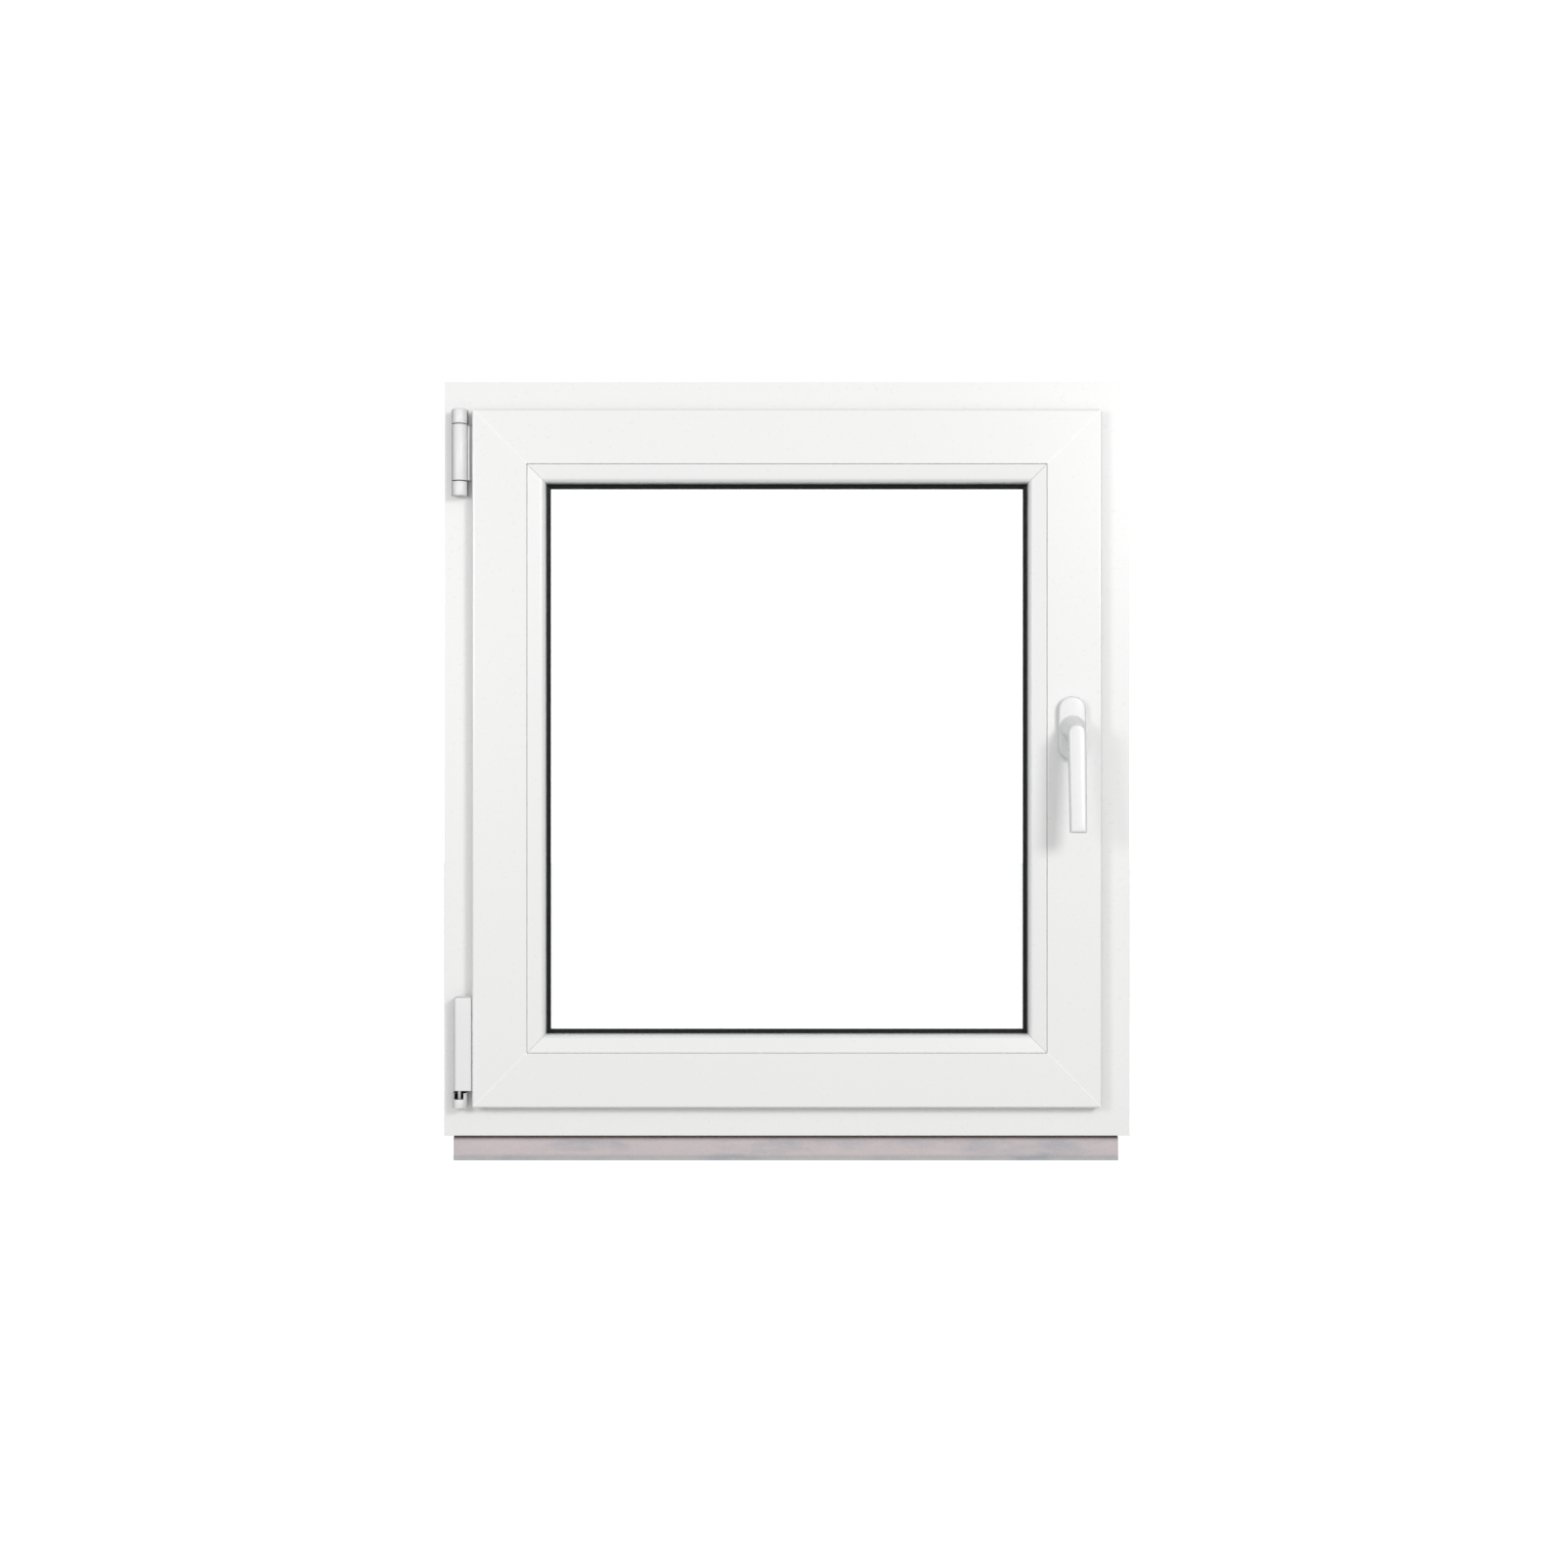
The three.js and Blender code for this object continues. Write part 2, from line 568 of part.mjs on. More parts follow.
function sashSection() {
  const plateHalf = PLATE_WIDTH / 2;
  const grooveHalf = GROOVE_WIDTH / 2;
  const smallChamber = BEAD_GROOVE_SIDE - SMALL_CHAMBER;
  const wall = WALL + 0.4;
  const section = outline([
    [0, SASH_FACE_Y, 3],
    [SASH_FACE, SASH_FACE_Y, 0.8],
    [SASH_FACE, BEAD_GROOVE.y0],
    [SASH_FACE - BEAD_GROOVE.depth, BEAD_GROOVE.y0],
    [SASH_FACE - BEAD_GROOVE.depth, BEAD_GROOVE.y1],
    [SASH_FACE, BEAD_GROOVE.y1],
    [SASH_FACE, SASH_LEG_Y],
    [BEAD_INNER, SASH_LEG_Y, 1],
    [BEAD_INNER, SASH_BACK_Y, 3],
    [BACK_EDGE, SASH_BACK_Y, 1],
    [BACK_EDGE, BACK_EDGE_Y],
    [FLANGE, BACK_EDGE_Y],
    [FLANGE, GROOVE_Y + plateHalf],
    [PLATE_FLOOR, GROOVE_Y + plateHalf],
    [PLATE_FLOOR, GROOVE_Y + grooveHalf],
    [GROOVE_FLOOR, GROOVE_Y + grooveHalf],
    [GROOVE_FLOOR, GROOVE_Y - grooveHalf],
    [PLATE_FLOOR, GROOVE_Y - grooveHalf],
    [PLATE_FLOOR, GROOVE_Y - plateHalf],
    [FLANGE, GROOVE_Y - plateHalf],
    [FLANGE, FLANGE_BACK_Y],
    [0, FLANGE_BACK_Y, 1.2],
  ]);
  section.holes = [
    hole(rectangle(WALL, smallChamber - WEB, SASH_FACE_Y + WALL, FLANGE_BACK_Y - WALL)),
    hole(rectangle(smallChamber, BEAD_GROOVE_SIDE, SASH_FACE_Y + wall, FLANGE_BACK_Y - wall)),
    hole(rectangle(SASH_STEEL_OUT, SASH_STEEL_IN, SASH_STEEL_Y0, SASH_STEEL_Y1)),
    hole(rectangle(BACK_EDGE + WALL, BEAD_INNER - WALL, SASH_LEG_Y + WALL, SASH_BACK_Y - WALL)),
  ];
  return section;
}

const SPINDLE_HOLE = 6.5;
const GEARBOX = {
  width: GROOVE_WIDTH - 0.6,
  half: 62,
  back: FLANGE + BACKSET + PINION_TIP + 2.2,
};

const sashSteelSection = channelSection(
  SASH_STEEL_OUT + CLEARANCE, SASH_STEEL_IN - CLEARANCE,
  SASH_STEEL_Y0 + CLEARANCE, SASH_STEEL_Y1 - CLEARANCE,
);

// rounded corners of the sash, as the prism that everything in its outline lies in
const sashPrism = toSolid(extrudeBack(
  outline(rectangle(SASH_RECT.x0, SASH_RECT.x1, SASH_RECT.z0, SASH_RECT.z1, SASH_CORNER_RADIUS)),
  SASH_FACE_Y - 1, SASH_BACK_Y + 1,
));

for (const [name, side] of Object.entries(SASH_SIDES)) {
  let solid = toSolid(mitredBar(sashSection(), SASH_RECT, side)).intersect(sashPrism);
  let steel = toSolid(mitredBar(sashSteelSection, SASH_RECT, side));
  if (side === "right") {
    const pocket = block(
      SASH_RECT.x1 - GEARBOX.back - CLEARANCE, SASH_RECT.x1 - PLATE_FLOOR - 1,
      GROOVE_Y - GROOVE_WIDTH / 2, GROOVE_Y + GROOVE_WIDTH / 2,
      SPINDLE_Z - GEARBOX.half - CLEARANCE, SPINDLE_Z + GEARBOX.half + CLEARANCE,
    );
    const bore = peg(SPINDLE_X, SPINDLE_Z, SPINDLE_HOLE, SASH_FACE_Y - 1, GROOVE_Y);
    solid = solid.subtract(toSolid(pocket)).subtract(toSolid(bore));
    steel = steel.subtract(toSolid(bore));
  }
  part(name, whitePvc, toGeometry(solid));
  part(name.replace("sash_", "sash_steel_"), galvanised, toGeometry(steel));
}

// glazing beads
function beadSection() {
  const foot = SASH_FACE + CLEARANCE;
  const front = SASH_FACE_Y + 0.8;
  const section = outline([
    [foot, front, 1],
    [BEAD_INNER - 3, front + 3.8, 2],
    [BEAD_INNER, front + 7.5, 2],
    [BEAD_INNER, BEAD_BACK_Y],
    [foot, BEAD_BACK_Y],
    [foot, BEAD_GROOVE.y1 - CLEARANCE],
    [SASH_FACE - BEAD_GROOVE.depth + CLEARANCE, BEAD_GROOVE.y1 - CLEARANCE],
    [SASH_FACE - BEAD_GROOVE.depth + CLEARANCE, BEAD_GROOVE.y0 + CLEARANCE],
    [foot, BEAD_GROOVE.y0 + CLEARANCE],
  ]);
  section.holes = [
    hole(rectangle(foot + 2.5, BEAD_INNER - 2.5, SASH_FACE_Y + 10.5, BEAD_BACK_Y - 2)),
  ];
  return section;
}

for (const [name, side] of Object.entries(SASH_SIDES)) {
  const beadName = `bead_${name.replace("sash_", "")}`;
  part(beadName, whitePvc, mitredBar(beadSection(), SASH_RECT, side));
}

// ---- glazing ------------------------------------------------------------------------------

function pane(y0, y1) {
  return block(
    SASH_RECT.x0 + GLASS_EDGE, SASH_RECT.x1 - GLASS_EDGE, y0, y1,
    SASH_RECT.z0 + GLASS_EDGE, SASH_RECT.z1 - GLASS_EDGE,
  );
}

part("pane_inner", clearGlass, pane(INNER_PANE_FRONT_Y, INNER_PANE_BACK_Y));
part("pane_outer", clearGlass, pane(INNER_PANE_BACK_Y + CAVITY, OUTER_PANE_BACK_Y));
part("glass_spacer", blackPlastic, mitredRing([
  [GLASS_EDGE + 1, INNER_PANE_BACK_Y],
  [GLASS_EDGE + SPACER_HEIGHT, INNER_PANE_BACK_Y],
  [GLASS_EDGE + SPACER_HEIGHT, INNER_PANE_BACK_Y + CAVITY],
  [GLASS_EDGE + 1, INNER_PANE_BACK_Y + CAVITY],
], SASH_RECT));
part("glazing_gasket_inner", blackRubber, mitredRing([
  [GLASS_EDGE + 4, BEAD_BACK_Y],
  [BEAD_INNER + 0.5, BEAD_BACK_Y],
  [BEAD_INNER + SEAL_LIP, INNER_PANE_FRONT_Y - 1.5],
  [BEAD_INNER + SEAL_LIP, INNER_PANE_FRONT_Y],
  [GLASS_EDGE + 4, INNER_PANE_FRONT_Y],
], SASH_RECT));
part("glazing_gasket_outer", blackRubber, mitredRing([
  [GLASS_EDGE + 5, OUTER_PANE_BACK_Y],
  [BEAD_INNER + 2, OUTER_PANE_BACK_Y],
  [BEAD_INNER + 2, OUTER_PANE_BACK_Y + 2],
  [BEAD_INNER + 0.5, SASH_LEG_Y],
  [GLASS_EDGE + 5, SASH_LEG_Y],
], SASH_RECT));

// blocks under the panes, towards the ends of the bottom rail
const SETTING_BLOCK_X = (SASH_RECT.x1 - SASH_RECT.x0) * 0.3;

const settingBlock = (centre) => block(
  centre - SETTING_BLOCK_LENGTH / 2, centre + SETTING_BLOCK_LENGTH / 2,
  INNER_PANE_FRONT_Y, OUTER_PANE_BACK_Y,
  SASH_RECT.z0 + SASH_FACE, SASH_RECT.z0 + GLASS_EDGE,
);

part("setting_block_left", blackPlastic, settingBlock(-SETTING_BLOCK_X));
part("setting_block_right", blackPlastic, settingBlock(SETTING_BLOCK_X));

// overlap gasket on the back of the flange, let out where the hinge leaves pass
const FLANGE_SEAL = { outer: OVERLAP - 3.5, inner: OVERLAP - 0.5, nose: FRAME_FACE_Y - CLEARANCE };
const flangeSeal = mitredRing([
  [FLANGE_SEAL.outer, FLANGE_BACK_Y],
  [FLANGE_SEAL.inner, FLANGE_BACK_Y],
  [FLANGE_SEAL.inner, FLANGE_SEAL.nose - 1],
  [(FLANGE_SEAL.outer + FLANGE_SEAL.inner) / 2, FLANGE_SEAL.nose],
  [FLANGE_SEAL.outer, FLANGE_SEAL.nose - 1],
], SASH_RECT);
const leafWindow = (z0, z1) => block(
  SASH_RECT.x0, SASH_RECT.x0 + OVERLAP + 1,
  LEAF_FRONT_Y - CLEARANCE, FRAME_FACE_Y,
  z0 - 1, z1 + 1,
);
part("sash_gasket", blackRubber, carve([flangeSeal], [
  leafWindow(BAND_FOOT_Z, BAND_TOP_Z),
  leafWindow(COVER_Z0, COVER_Z1),
]));

// ---- stay hinge and stay ------------------------------------------------------------------

// bearing on the frame: a plate, two end barrels and the webs that carry them
const BEARING_PLATE = { half: 8, thickness: 2.8, strip: 5, webHalf: 6 };

function stayBearing() {
  const left = AXIS_X - BEARING_PLATE.half;
  const right = AXIS_X + BEARING_PLATE.half;
  const strip = left + BEARING_PLATE.strip;
  const plate = outline([
    [left, STAY_FOOT_Z + 1],
    [right, STAY_FOOT_Z + 1],
    [right, BAND_FOOT_Z - CLEARANCE],
    [strip, BAND_FOOT_Z - CLEARANCE],
    [strip, BAND_TOP_Z + CLEARANCE],
    [right, BAND_TOP_Z + CLEARANCE],
    [right, STAY_TOP_Z - 1],
    [left, STAY_TOP_Z - 1],
  ]);
  const ends = [
    [STAY_FOOT_Z, BAND_FOOT_Z - CLEARANCE],
    [BAND_TOP_Z + CLEARANCE, STAY_TOP_Z],
  ];
  const barrels = ends.map(([z0, z1]) => barrel(AXIS_X, AXIS_Y, 1, BARREL_RADIUS, z0, z1));
  const webs = ends.map(([z0, z1]) => block(
    AXIS_X - BEARING_PLATE.webHalf, AXIS_X + BEARING_PLATE.webHalf,
    AXIS_Y + BARREL_RADIUS / 2, FRAME_FACE_Y - 1,
    z0 + 1.5, z1 - 1.5,
  ));
  const plateFront = FRAME_FACE_Y - BEARING_PLATE.thickness;
  const bore = post(AXIS_X, AXIS_Y, PIN_RADIUS + CLEARANCE, STAY_FOOT_Z - 1, STAY_TOP_Z + 1);
  return carve([extrudeBack(plate, plateFront, FRAME_FACE_Y), ...barrels, ...webs], [bore]);
}

part("stay_bearing", whiteCover, stayBearing());
part("stay_hinge_pin", zincPlate,
  post(AXIS_X, AXIS_Y, PIN_RADIUS, STAY_FOOT_Z + 0.6, STAY_TOP_Z - 0.6));

// The neck and leaf that pass from a hinge barrel behind the flange, over the frame's edge.
function leafOutline(endX, reach) {
  return outline([
    [AXIS_X + 0.5, AXIS_Y],
    [AXIS_X + reach, AXIS_Y + reach * 0.35],
    [AXIS_X + reach + 1.6, LEAF_FRONT_Y],
    [endX, LEAF_FRONT_Y],
    [endX, LEAF_BACK_Y],
    [AXIS_X + 2, LEAF_BACK_Y],
    [AXIS_X - 0.5, AXIS_Y + reach - 0.2],
  ]);
}

const STAY_PLATE_X1 = SASH_EDGE_X0 - 5.5;
const STAY_PLATE_X0 = STAY_PLATE_X1 - LEAF;
const ARM_Y0 = GROOVE_Y - STAY_ARM_WIDTH / 2;
const ARM_Y1 = GROOVE_Y + STAY_ARM_WIDTH / 2;
const STAY_PIN_X = AXIS_X + STAY_LENGTH;
const STAY_PIN_RADIUS = 2.5;
const STAY_PLATE_BACK_Y = ARM_Y1 - 3;

// band: middle barrel, leaf, and the plate that rises in the rebate to carry the arm
function stayBand() {
  const z0 = BAND_FOOT_Z + CLEARANCE;
  const z1 = BAND_TOP_Z - CLEARANCE;
  const ring = barrel(AXIS_X, AXIS_Y, 1, BARREL_RADIUS, z0, z1, 0.8);
  const leaf = extrudeUp(leafOutline(STAY_PLATE_X1, BARREL_RADIUS - 0.6), z0 + 1, z1 - 1);
  const plate = block(
    STAY_PLATE_X0, STAY_PLATE_X1, LEAF_FRONT_Y, STAY_PLATE_BACK_Y, z0 + 1, ARM_FOOT_Z - 0.2,
  );
  const bore = post(AXIS_X, AXIS_Y, PIN_RADIUS + CLEARANCE, z0 - 1, z1 + 1);
  return carve([ring, leaf, plate], [bore]);
}

part("stay_band", whiteCover, stayBand());

// arm: a flat bar lying over the stay rail, from the band's plate to its pin
const ARM_SLOTS = { count: 3, half: 14, radius: 2.2 };

function stayArm() {
  const end = STAY_ARM_WIDTH / 2;
  const shape = outline([
    [STAY_PLATE_X0, ARM_Y0],
    [STAY_PIN_X + end, ARM_Y0, end * 0.8],
    [STAY_PIN_X + end, ARM_Y1, end * 0.8],
    [STAY_PLATE_X0, ARM_Y1],
  ]);
  const pitch = (STAY_PIN_X - STAY_PLATE_X1) / (ARM_SLOTS.count + 1);
  shape.holes = Array.from({ length: ARM_SLOTS.count }, (_, i) => {
    const x = STAY_PLATE_X1 + (i + 1) * pitch;
    return hole(rectangle(
      x - ARM_SLOTS.half, x + ARM_SLOTS.half,
      GROOVE_Y - ARM_SLOTS.radius, GROOVE_Y + ARM_SLOTS.radius, ARM_SLOTS.radius - 0.2,
    ));
  });
  const bore = post(STAY_PIN_X, GROOVE_Y, STAY_PIN_RADIUS + 0.2, ARM_FOOT_Z - 1, ARM_TOP_Z + 1);
  return carve([extrudeUp(shape, ARM_FOOT_Z, ARM_TOP_Z)], [bore]);
}

part("stay_arm", zincPlate, stayArm());
part("stay_arm_pin", zincPlate, carve([
  post(STAY_PIN_X, GROOVE_Y, STAY_PIN_RADIUS, SASH_RECT.z1 - GROOVE_FLOOR + 2, ARM_TOP_Z + 1),
  post(STAY_PIN_X, GROOVE_Y, STAY_PIN_RADIUS + 2, ARM_TOP_Z + CLEARANCE, ARM_TOP_Z + 2),
]));

// ---- corner hinge -------------------------------------------------------------------------

const CUP_RADIUS = 7;
const CUP_BORE = 5.4;
const CUP_Z0 = SASH_RECT.z0 + 1.2;
const CUP_Z1 = SASH_RECT.z0 + 15.5;
const MOUTH_Z = SASH_RECT.z0 + 10;
const CAP_WALL = 1;
const SWIVEL_Z0 = CUP_Z0 + 1.4;
const SWIVEL_Z1 = TILT_Z + 5;
const TONGUE = 3.2;
const TONGUE_DEPTH = 4.4;
const CROSS_PIN_RADIUS = 1.2;
const TONGUE_END_RADIUS = 2.3;
const CORNER_PIN_RADIUS = 2.6;
const CORNER_BARREL_RADIUS = 4.4;
const CORNER_PLATE_FRONT_Y = FRAME_FACE_Y - 2;

const frontMouth = () =>
  block(AXIS_X - CUP_BORE, AXIS_X + CUP_BORE, AXIS_Y - 2 * CUP_RADIUS, AXIS_Y, MOUTH_Z, CUP_Z1 + 8);

// bearing on the frame: a plate and the cup that holds the swivel
part("corner_bearing", zincPlate, carve([
  block(AXIS_X - 7, AXIS_X + 7, CORNER_PLATE_FRONT_Y, FRAME_FACE_Y, CUP_Z0, COVER_Z0 + 1.5),
  block(AXIS_X - 7, AXIS_X - 2.5, CORNER_PLATE_FRONT_Y, FRAME_FACE_Y, COVER_Z0, COVER_Z0 + 60),
  post(AXIS_X, AXIS_Y, CUP_RADIUS, CUP_Z0, CUP_Z1, 32),
  block(AXIS_X - 5, AXIS_X + 5, AXIS_Y + 4, FRAME_FACE_Y - 1, CUP_Z0, CUP_Z1),
], [
  post(AXIS_X, AXIS_Y, CUP_BORE, SWIVEL_Z0 - CLEARANCE, CUP_Z1 + 1, 32),
  frontMouth(),
]));

// cap clipped round the cup, with the same mouth
function cornerBearingCap() {
  const outside = (radius, back) => {
    const shape = new THREE.Shape();
    shape.moveTo(AXIS_X - radius, back);
    shape.lineTo(AXIS_X - radius, AXIS_Y);
    shape.absarc(AXIS_X, AXIS_Y, radius, Math.PI, 2 * Math.PI, false);
    shape.lineTo(AXIS_X + radius, back);
    shape.closePath();
    return shape;
  };
  const inner = CUP_RADIUS + CLEARANCE;
  const back = CORNER_PLATE_FRONT_Y - CLEARANCE;
  const round = { curveSegments: 12 };
  const shell = extrudeUp(outside(inner + CAP_WALL, back), SASH_RECT.z0, CUP_Z1 + 1.5, round);
  const room = extrudeUp(outside(inner, back + 1), CUP_Z0 - CLEARANCE, CUP_Z1 + 3, round);
  return carve([shell], [room, frontMouth()]);
}

part("corner_bearing_cap", whiteCover, cornerBearingCap());

// swivel: it turns in the cup, and the pin's tongue tilts on its cross pin
part("corner_swivel", blackPlastic, carve([
  carve([post(AXIS_X, AXIS_Y, CUP_BORE - CLEARANCE, SWIVEL_Z0, SWIVEL_Z1, 32)], [
    block(AXIS_X - TONGUE / 2 - CLEARANCE, AXIS_X + TONGUE / 2 + CLEARANCE,
      AXIS_Y - CUP_RADIUS, AXIS_Y + CUP_RADIUS, TILT_Z - TONGUE_END_RADIUS - CLEARANCE, SWIVEL_Z1 + 1),
  ]),
  bolt(AXIS_Y, TILT_Z, CROSS_PIN_RADIUS, AXIS_X - 3, AXIS_X + 3, 16),
]));

// corner hinge pin: a round pin whose lower end is a flat tongue with an eye
part("corner_hinge_pin", zincPlate, carve([
  post(AXIS_X, AXIS_Y, CORNER_PIN_RADIUS, COVER_Z0 - 1, COVER_Z1 - 4),
  block(AXIS_X - TONGUE / 2, AXIS_X + TONGUE / 2, AXIS_Y - TONGUE_DEPTH / 2, AXIS_Y + TONGUE_DEPTH / 2,
    TILT_Z, COVER_Z0),
  bolt(AXIS_Y, TILT_Z, TONGUE_END_RADIUS, AXIS_X - TONGUE / 2, AXIS_X + TONGUE / 2, 20),
], [
  bolt(AXIS_Y, TILT_Z, CROSS_PIN_RADIUS + CLEARANCE, AXIS_X - TONGUE, AXIS_X + TONGUE, 16),
]));

// band on the sash: barrel round the pin, leaf, rebate plate and the return under the sash
function cornerBand() {
  const z0 = COVER_Z0 + 2.5;
  const z1 = COVER_Z1 - 3.5;
  const plateX1 = SASH_EDGE_X0 - 0.1;
  const footZ1 = SASH_RECT.z0 + FLANGE - 0.1;
  const ring = barrel(AXIS_X, AXIS_Y, 1, CORNER_BARREL_RADIUS, z0, z1, 0.5);
  const leaf = extrudeUp(leafOutline(plateX1, CORNER_BARREL_RADIUS - 0.4), z0, z1);
  const plate = block(plateX1 - LEAF, plateX1, LEAF_FRONT_Y, GROOVE_Y + 10, footZ1 - LEAF, z1);
  const foot = block(plateX1 - LEAF, plateX1 + 60, GROOVE_Y - 8, GROOVE_Y + 8, footZ1 - LEAF, footZ1);
  const bore = post(AXIS_X, AXIS_Y, CORNER_PIN_RADIUS + CLEARANCE, z0 - 1, z1 + 1);
  return carve([ring, leaf, plate, foot], [bore]);
}

part("corner_hinge_band", zincPlate, cornerBand());

// cover over the corner hinge, open at the back and below
function cornerCover() {
  const left = AXIS_X - 6;
  const right = SASH_RECT.x0 - 0.5;
  const front = AXIS_Y - BARREL_RADIUS + 0.2;
  const back = AXIS_Y + 7.2;
  const section = (inset, reach) => outline([
    [left + inset + 2, back + reach],
    [left + inset, back - 3],
    [left + inset, front + inset, 4.5 - inset],
    [right - inset, front + inset, 1.5],
    [right - inset, back + reach],
  ]);
  const shell = extrudeUp(section(0, 0), COVER_Z0, COVER_Z1);
  const room = extrudeUp(section(COVER_WALL, 2), COVER_Z0 - 1, COVER_Z1 - COVER_WALL);
  return carve([shell], [room]);
}

part("corner_hinge_cover", whiteCover, cornerCover());

// ---- locking hardware ---------------------------------------------------------------------

const CAM_LOCK_Z = [SASH_RECT.z0 + CAM_ABOVE_CORNER, SASH_RECT.z1 - CAM_BELOW_CORNER];
const CAM_HEAD_X = SASH_RECT.x1 - CAM_HEAD_IN;
const CAM_SILL_X = SASH_RECT.x1 - CAM_SILL_IN;
const PLATE_IN = FLANGE + 0.1;
const PLATE_OUT = PLATE_FLOOR;
const PLATE_HALF = PLATE_WIDTH / 2 - CLEARANCE;
const CORNER_END = FLANGE + CORNER_LEG;
const ROD_END = FLANGE + CORNER_BLOCK + 2;

// Shapes lying in the groove of one side: a0..a1 along the sash, t0..t1 in from its edge.
const onLock = (t0, t1, half, z0, z1) =>
  block(SASH_RECT.x1 - t1, SASH_RECT.x1 - t0, GROOVE_Y - half, GROOVE_Y + half, z0, z1);
const onHead = (t0, t1, half, x0, x1) =>
  block(x0, x1, GROOVE_Y - half, GROOVE_Y + half, SASH_RECT.z1 - t1, SASH_RECT.z1 - t0);
const onSill = (t0, t1, half, x0, x1) =>
  block(x0, x1, GROOVE_Y - half, GROOVE_Y + half, SASH_RECT.z0 + t0, SASH_RECT.z0 + t1);

const SLOT_HALF = CAM_RADIUS + 0.6;
const slot = (on, from, to) =>
  on(PLATE_IN - 1, PLATE_OUT + 1, SLOT_HALF, from - SLOT_HALF, to + SLOT_HALF);

part("lock_faceplate", zincPlate, carve(
  [onLock(PLATE_IN, PLATE_OUT, PLATE_HALF,
    SASH_RECT.z0 + CORNER_END + CLEARANCE, SASH_RECT.z1 - CORNER_END - CLEARANCE)],
  CAM_LOCK_Z.map((z) => slot(onLock, z - ROD_TRAVEL, z)),
));

const STAY_RAIL_X0 = SASH_EDGE_X0 + 12;
const STAY_SLOT = { half: STAY_PIN_RADIUS + 1.8, x0: STAY_PIN_X - 24, x1: STAY_PIN_X + 5.5 };

part("stay_rail", zincPlate, carve(
  [onHead(PLATE_IN, PLATE_OUT, PLATE_HALF, STAY_RAIL_X0, SASH_RECT.x1 - CORNER_END - CLEARANCE)],
  [
    slot(onHead, CAM_HEAD_X, CAM_HEAD_X + ROD_TRAVEL),
    onHead(PLATE_IN - 1, PLATE_OUT + 1, STAY_SLOT.half, STAY_SLOT.x0, STAY_SLOT.x1),
  ],
));

part("sill_faceplate", zincPlate, carve(
  [onSill(PLATE_IN, PLATE_OUT, PLATE_HALF, SASH_EDGE_X0 + 66, SASH_RECT.x1 - CORNER_END - CLEARANCE)],
  [slot(onSill, CAM_SILL_X - ROD_TRAVEL, CAM_SILL_X)],
));

// corner drives: an angled faceplate with its guide block in the groove
function cornerDrive(up) {
  const zEdge = up ? SASH_RECT.z1 : SASH_RECT.z0;
  const inwards = up ? -1 : 1;
  const angle = (t0, t1, leg, half) => {
    const x = (t) => SASH_RECT.x1 - t;
    const z = (t) => zEdge + inwards * t;
    const shape = outline([
      [x(t0), z(t0), Math.min(4, leg / 4)],
      [x(t0), z(FLANGE + leg)],
      [x(t1), z(FLANGE + leg)],
      [x(t1), z(t1)],
      [x(FLANGE + leg), z(t1)],
      [x(FLANGE + leg), z(t0)],
    ]);
    return extrudeBack(shape, GROOVE_Y - half, GROOVE_Y + half);
  };
  return carve([
    angle(PLATE_IN, PLATE_OUT, CORNER_LEG, PLATE_HALF),
    angle(PLATE_OUT - 1, GROOVE_FLOOR - CLEARANCE, CORNER_BLOCK, GEARBOX.width / 2),
  ]);
}

part("corner_drive_top", zincPlate, cornerDrive(true));
part("corner_drive_bottom", zincPlate, cornerDrive(false));

// gearbox case: it holds the pinion, and the rod slides past its open side
function gearboxCase() {
  const half = GEARBOX.width / 2;
  const cavity = PINION_WIDTH / 2 + CLEARANCE;
  const body = onLock(ROD_OUTER + CLEARANCE, GEARBOX.back, half, SPINDLE_Z - 20, SPINDLE_Z + 20);
  const tail = onLock(
    ROD_OUTER + CLEARANCE, GROOVE_FLOOR - CLEARANCE, half,
    SPINDLE_Z - GEARBOX.half, SPINDLE_Z + GEARBOX.half,
  );
  return carve([body, tail], [
    peg(SPINDLE_X, SPINDLE_Z, PINION_TIP + 0.5, GROOVE_Y - cavity, GROOVE_Y + cavity, 40),
    peg(SPINDLE_X, SPINDLE_Z, SPINDLE * 0.76, GROOVE_Y - half - 1, GROOVE_Y + half + 1),
  ]);
}

part("gearbox_case", zincPlate, gearboxCase());

// pinion: twelve straight-sided teeth round a square bore
function pinion() {
  const shape = new THREE.Shape();
  const step = (2 * Math.PI) / PINION_TEETH;
  for (let tooth = 0; tooth < PINION_TEETH; tooth += 1) {
    const middle = tooth * step;
    const flanks = [
      [-TOOTH_ROOT_SHARE, PINION_ROOT],
      [-TOOTH_TIP_SHARE, PINION_TIP],
      [TOOTH_TIP_SHARE, PINION_TIP],
      [TOOTH_ROOT_SHARE, PINION_ROOT],
    ];
    flanks.forEach(([share, radius], i) => {
      const angle = middle + (share * step * PITCH_RADIUS) / radius;
      const point = [SPINDLE_X + radius * Math.cos(angle), SPINDLE_Z + radius * Math.sin(angle)];
      if (tooth === 0 && i === 0) shape.moveTo(...point);
      else shape.lineTo(...point);
    });
  }
  shape.closePath();
  const bore = SPINDLE / 2 + 0.2;
  shape.holes = [hole(rectangle(
    SPINDLE_X - bore, SPINDLE_X + bore, SPINDLE_Z - bore, SPINDLE_Z + bore,
  ))];
  return extrudeBack(shape, GROOVE_Y - PINION_WIDTH / 2, GROOVE_Y + PINION_WIDTH / 2);
}

part("drive_pinion", zincPlate, pinion());

